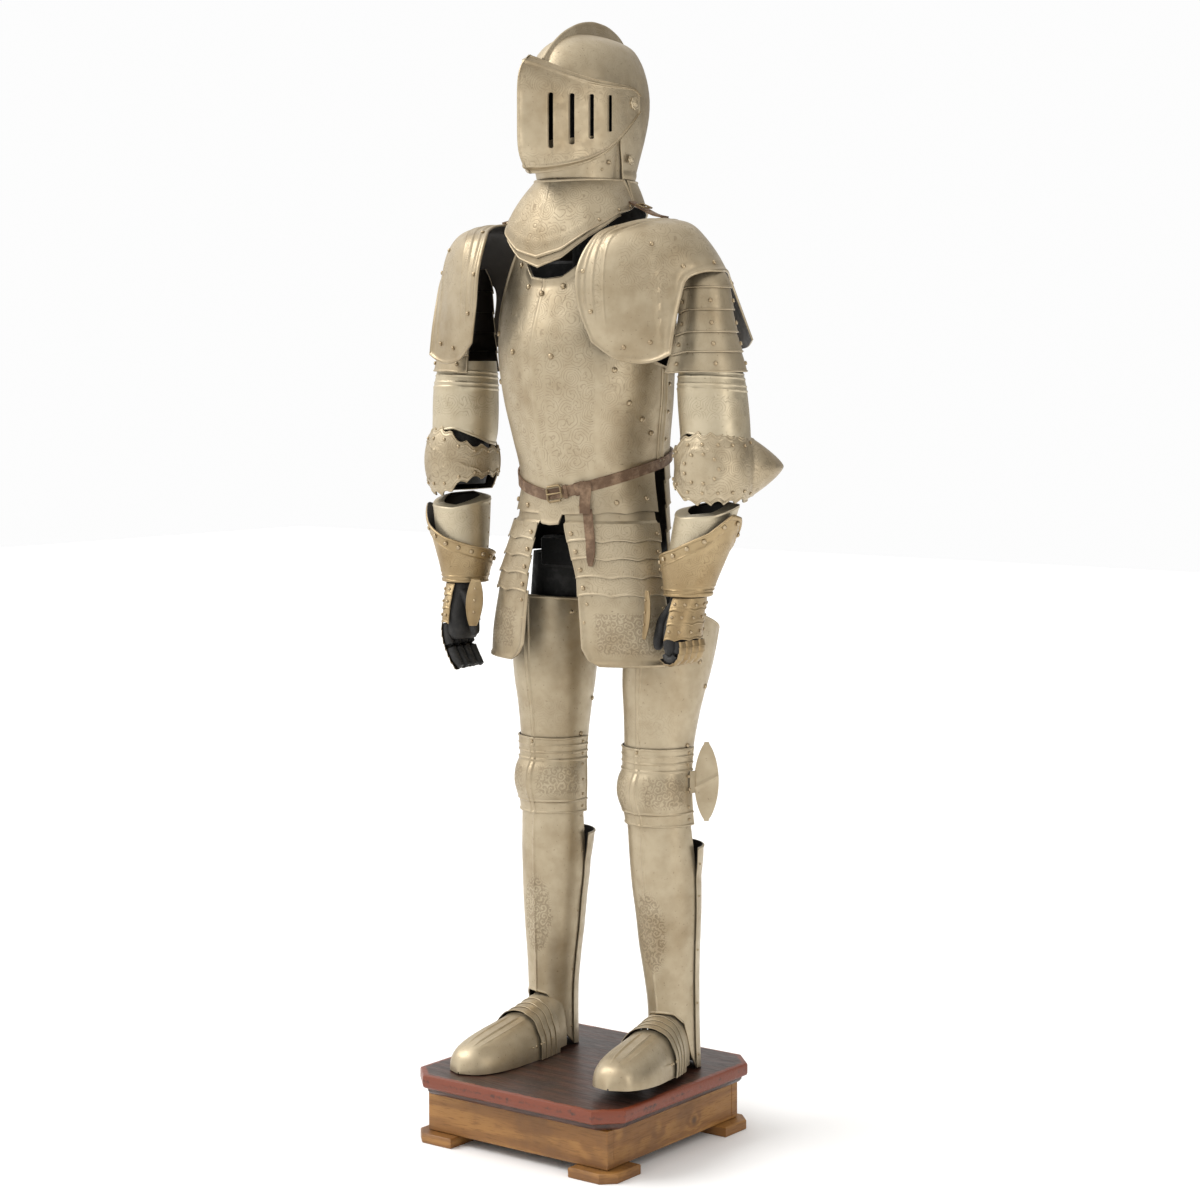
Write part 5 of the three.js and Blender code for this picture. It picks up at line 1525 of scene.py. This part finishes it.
def makeHand(side, sign):
    carrier = "forearm_" + side
    scales, tubes = fingerParts(side, sign)
    makePiece("finger_scales_" + side, scales, gauntletSteel, carrier,
              ["gauntlet_fingers_" + side])

    def onThumb(u, v):
        half = 15 * math.sin(math.pi * mix(0.1, 0.88, v)) ** 0.7
        across = mix(-half, half, u)
        bow = 4 * (1 - (across / 15) ** 2)
        return (184 + 0.8 * across - 0.6 * bow, -76 - 0.6 * across - 0.8 * bow + 8 * v,
                mix(884, 964, v))
    thumb = sheet(onThumb, (0, 1), (0, 1), step=3.4, rims="abcd", rimSize=(3, 0.9), side=sign,
                  relief=lambda u, v, su, sv: 1.0 * bead(abs(u - 0.5) * 26, 0, 4, 1.0),
                  wall=1.6)
    makePiece("thumb_plate_" + side, [thumb], gauntletSteel, carrier,
              ["gauntlet_thumb_" + side])
    for v in (0.3, 0.55, 0.8):
        rivet(carrier, onThumb, 0.5, v, 0.7, sign, 1.2)

    hand = tube([(229, -46, 858, 14, 28), (230, -46, 868, 19, 34), (230, -46, 880, 20, 36),
                 (231, -44, 905, 21, 37), (234, -38, 930, 22, 34), (237, -32, 970, 27, 27)],
                sign, 28, 24)
    thumbTube = tube([(196, -58, 866, 4, 4), (196, -57, 871, 8, 8), (197, -57, 884, 9.4, 9.4),
                      (201, -56, 902, 10, 10), (208, -56, 920, 10.5, 10.5),
                      (226, -50, 944, 12, 14)], sign, 24, 18)
    makePiece("hand_glove_" + side, [hand, thumbTube] + tubes, gloveHide, carrier,
              ["glove_" + side], sharp=70)


def tube(rows, sign, steps, per):
    # closed body through oval sections, listed from one end to the other
    read = reader("i x y z rx ry", [(i,) + row for i, row in enumerate(rows)])
    loops = []
    for k in range(steps + 1):
        f = read(k / steps * (len(rows) - 1))
        loops.append([(f["x"] + f["rx"] * math.cos(q), f["y"] + f["ry"] * math.sin(q), f["z"])
                      for q in [i * 2 * math.pi / per for i in range(per)]])
    return rings(loops, sign)


for side, sign in sides:
    for make in (makeShoulder, makeArmBands, makeUpperArm, makeElbow, makeForearm, makeCuff,
                 makeHandBands, makeHand):
        make(side, sign)
print("arms done")

# shoulder straps
strapPath = [(95, 1604), (105, 1601), (118, 1595), (134, 1587), (150, 1580), (168, 1576)]
strapRead = reader("x z", [(x, z) for x, z in strapPath])


def onStrap(u, v):
    x = mix(strapPath[0][0], strapPath[-1][0], u)
    return (x, mix(-13, 9, v), strapRead(x)["z"] + 1.5)


for side, sign in sides:
    band = sheet(onStrap, (0, 1), (0, 1), wall=wallLeather, step=3, side=sign,
                 relief=lambda u, v, su, sv: -0.4 * bead(sv, 2.4, 1.6, 1.0)
                 - 0.4 * bead(sv, 19.6, 1.6, 1.0))
    makePiece("shoulder_tie_" + side, [band], strapHide, "root", ["shoulder_strap_" + side])
    p = np.array(onStrap(0.42, 0.5)) + (0, 0, 2.2)
    tie = buckleParts(p, np.array([(0.9, 0, -0.43), (-0.43, 0, -0.9), (0, 1, 0)]), 18, 25, 1.5)
    if sign < 0:
        tie = [flip(part, -1) for part in tie]
    makePiece("shoulder_buckle_" + side, tie, brass, "root", [])

# inner stand
standSettings = {"post": [(131, 80, 123.1, 22), (128, 78, 300, 22), (118, 72, 480, 24),
                          (114, 66, 640, 34), (118, 72, 800, 46), (112, 72, 900, 50),
                          (96, 62, 1010, 50)],
                 "spine": [(40, 1030, 34, 34), (30, 1300, 34, 34), (20, 1500, 32, 32),
                           (18, 1640, 30, 30), (18, 1700, 44, 52), (14, 1800, 52, 66),
                           (14, 1842, 42, 56), (14, 1850, 30, 42)]}
standParts = [tube([(x, y, z, r, r) for x, y, z, r in standSettings["post"]], s, 24, 24)
              for s in (1, -1)]
standParts.append(tube([(0, y, z, rx, ry) for y, z, rx, ry in standSettings["spine"]], 1, 36, 28))
standParts.append(block((208, 64, 55), (0, 42, 1012.5), 5))
standParts.append(block((260, 40, 40), (0, 24, 1490), 5))
makePiece("stand_core", standParts, blackPaint, "root", ["inner_stand"])
makeRivets()
print("stand done")

# floor, lights and camera
stageSettings = {"floor": 24.0, "pale": (0.93, 0.93, 0.93, 1.0), "back": 0.98,
                 "window": (-0.55, -0.42, 0.72), "spread": (-0.75, 0.95, 0.20, 1.25)}


def makeFloor():
    half = stageSettings["floor"] / 2
    mesh = bpy.data.meshes.new("floor")
    mesh.from_pydata([(-half, -half, 0), (half, -half, 0), (half, half, 0), (-half, half, 0)],
                     [], [(0, 1, 2, 3)])
    mesh.materials.append(Tree("paper").finish(Base_Color=stageSettings["pale"], Roughness=0.9))
    addObject("floor", mesh)


def makeLight(name, at, aim, size, power, tint):
    data = bpy.data.lights.new(name, "AREA")
    data.shape = "RECTANGLE"
    data.size, data.size_y = size
    data.energy = power
    data.color = tint
    lamp = addObject(name, data)
    lamp.location = at
    way = mathutils.Vector(aim) - mathutils.Vector(at)
    lamp.rotation_euler = way.to_track_quat("-Z", "Y").to_euler()


def makeSun(name, way, strength, wide):
    data = bpy.data.lights.new(name, "SUN")
    data.energy, data.angle = strength, wide * deg
    lamp = addObject(name, data)
    lamp.rotation_euler = mathutils.Vector(way).to_track_quat("Z", "Y").to_euler()


def makeWorld():
    # the room is brighter towards the window side; the camera sees plain white
    world = bpy.data.worlds.new("studio")
    bpy.context.scene.world = world
    world.use_nodes = True
    tree = world.node_tree
    tree.nodes.clear()
    way = addNode(tree, "ShaderNodeTexCoord").outputs["Generated"]
    toWindow = addNode(tree, "ShaderNodeVectorMath", {0: way, 1: stageSettings["window"]},
                       operation="DOT_PRODUCT")
    ends = dict(enumerate(stageSettings["spread"], 1))
    spread = addNode(tree, "ShaderNodeMapRange", {0: toWindow.outputs["Value"], **ends},
                     interpolation_type="SMOOTHSTEP")
    room = addNode(tree, "ShaderNodeBackground",
                   {"Color": (1.0, 0.985, 0.96, 1), "Strength": spread.outputs[0]})
    seen = addNode(tree, "ShaderNodeBackground",
                   {"Color": (1, 1, 1, 1), "Strength": stageSettings["back"]})
    path = addNode(tree, "ShaderNodeLightPath")
    pick = addNode(tree, "ShaderNodeMixShader", {0: path.outputs["Is Camera Ray"],
                                                 1: room.outputs[0], 2: seen.outputs[0]})
    addNode(tree, "ShaderNodeOutputWorld", {0: pick.outputs[0]})


makeFloor()
makeWorld()
makeSun("key", (-0.62, -0.42, 0.86), 1.75, 40)
makeLight("side", (3.6, -0.6, 1.7), (0, 0, 1.0), (1.0, 2.6), 26, (1, 0.97, 0.93))

cameraSettings = {"at": (2.631, -3.486, 1.3345), "turn": (84.7496, 0, 37.0473), "lens": 76.955,
                  "shift": 0.0132}
cameraData = bpy.data.cameras.new("camera")
cameraData.lens, cameraData.sensor_width = cameraSettings["lens"], 36
cameraData.shift_x = cameraSettings["shift"]
camera = addObject("camera", cameraData)
camera.location = cameraSettings["at"]
camera.rotation_euler = [angle * deg for angle in cameraSettings["turn"]]
bpy.context.scene.camera = camera
bpy.context.scene.view_settings.view_transform = "Standard"
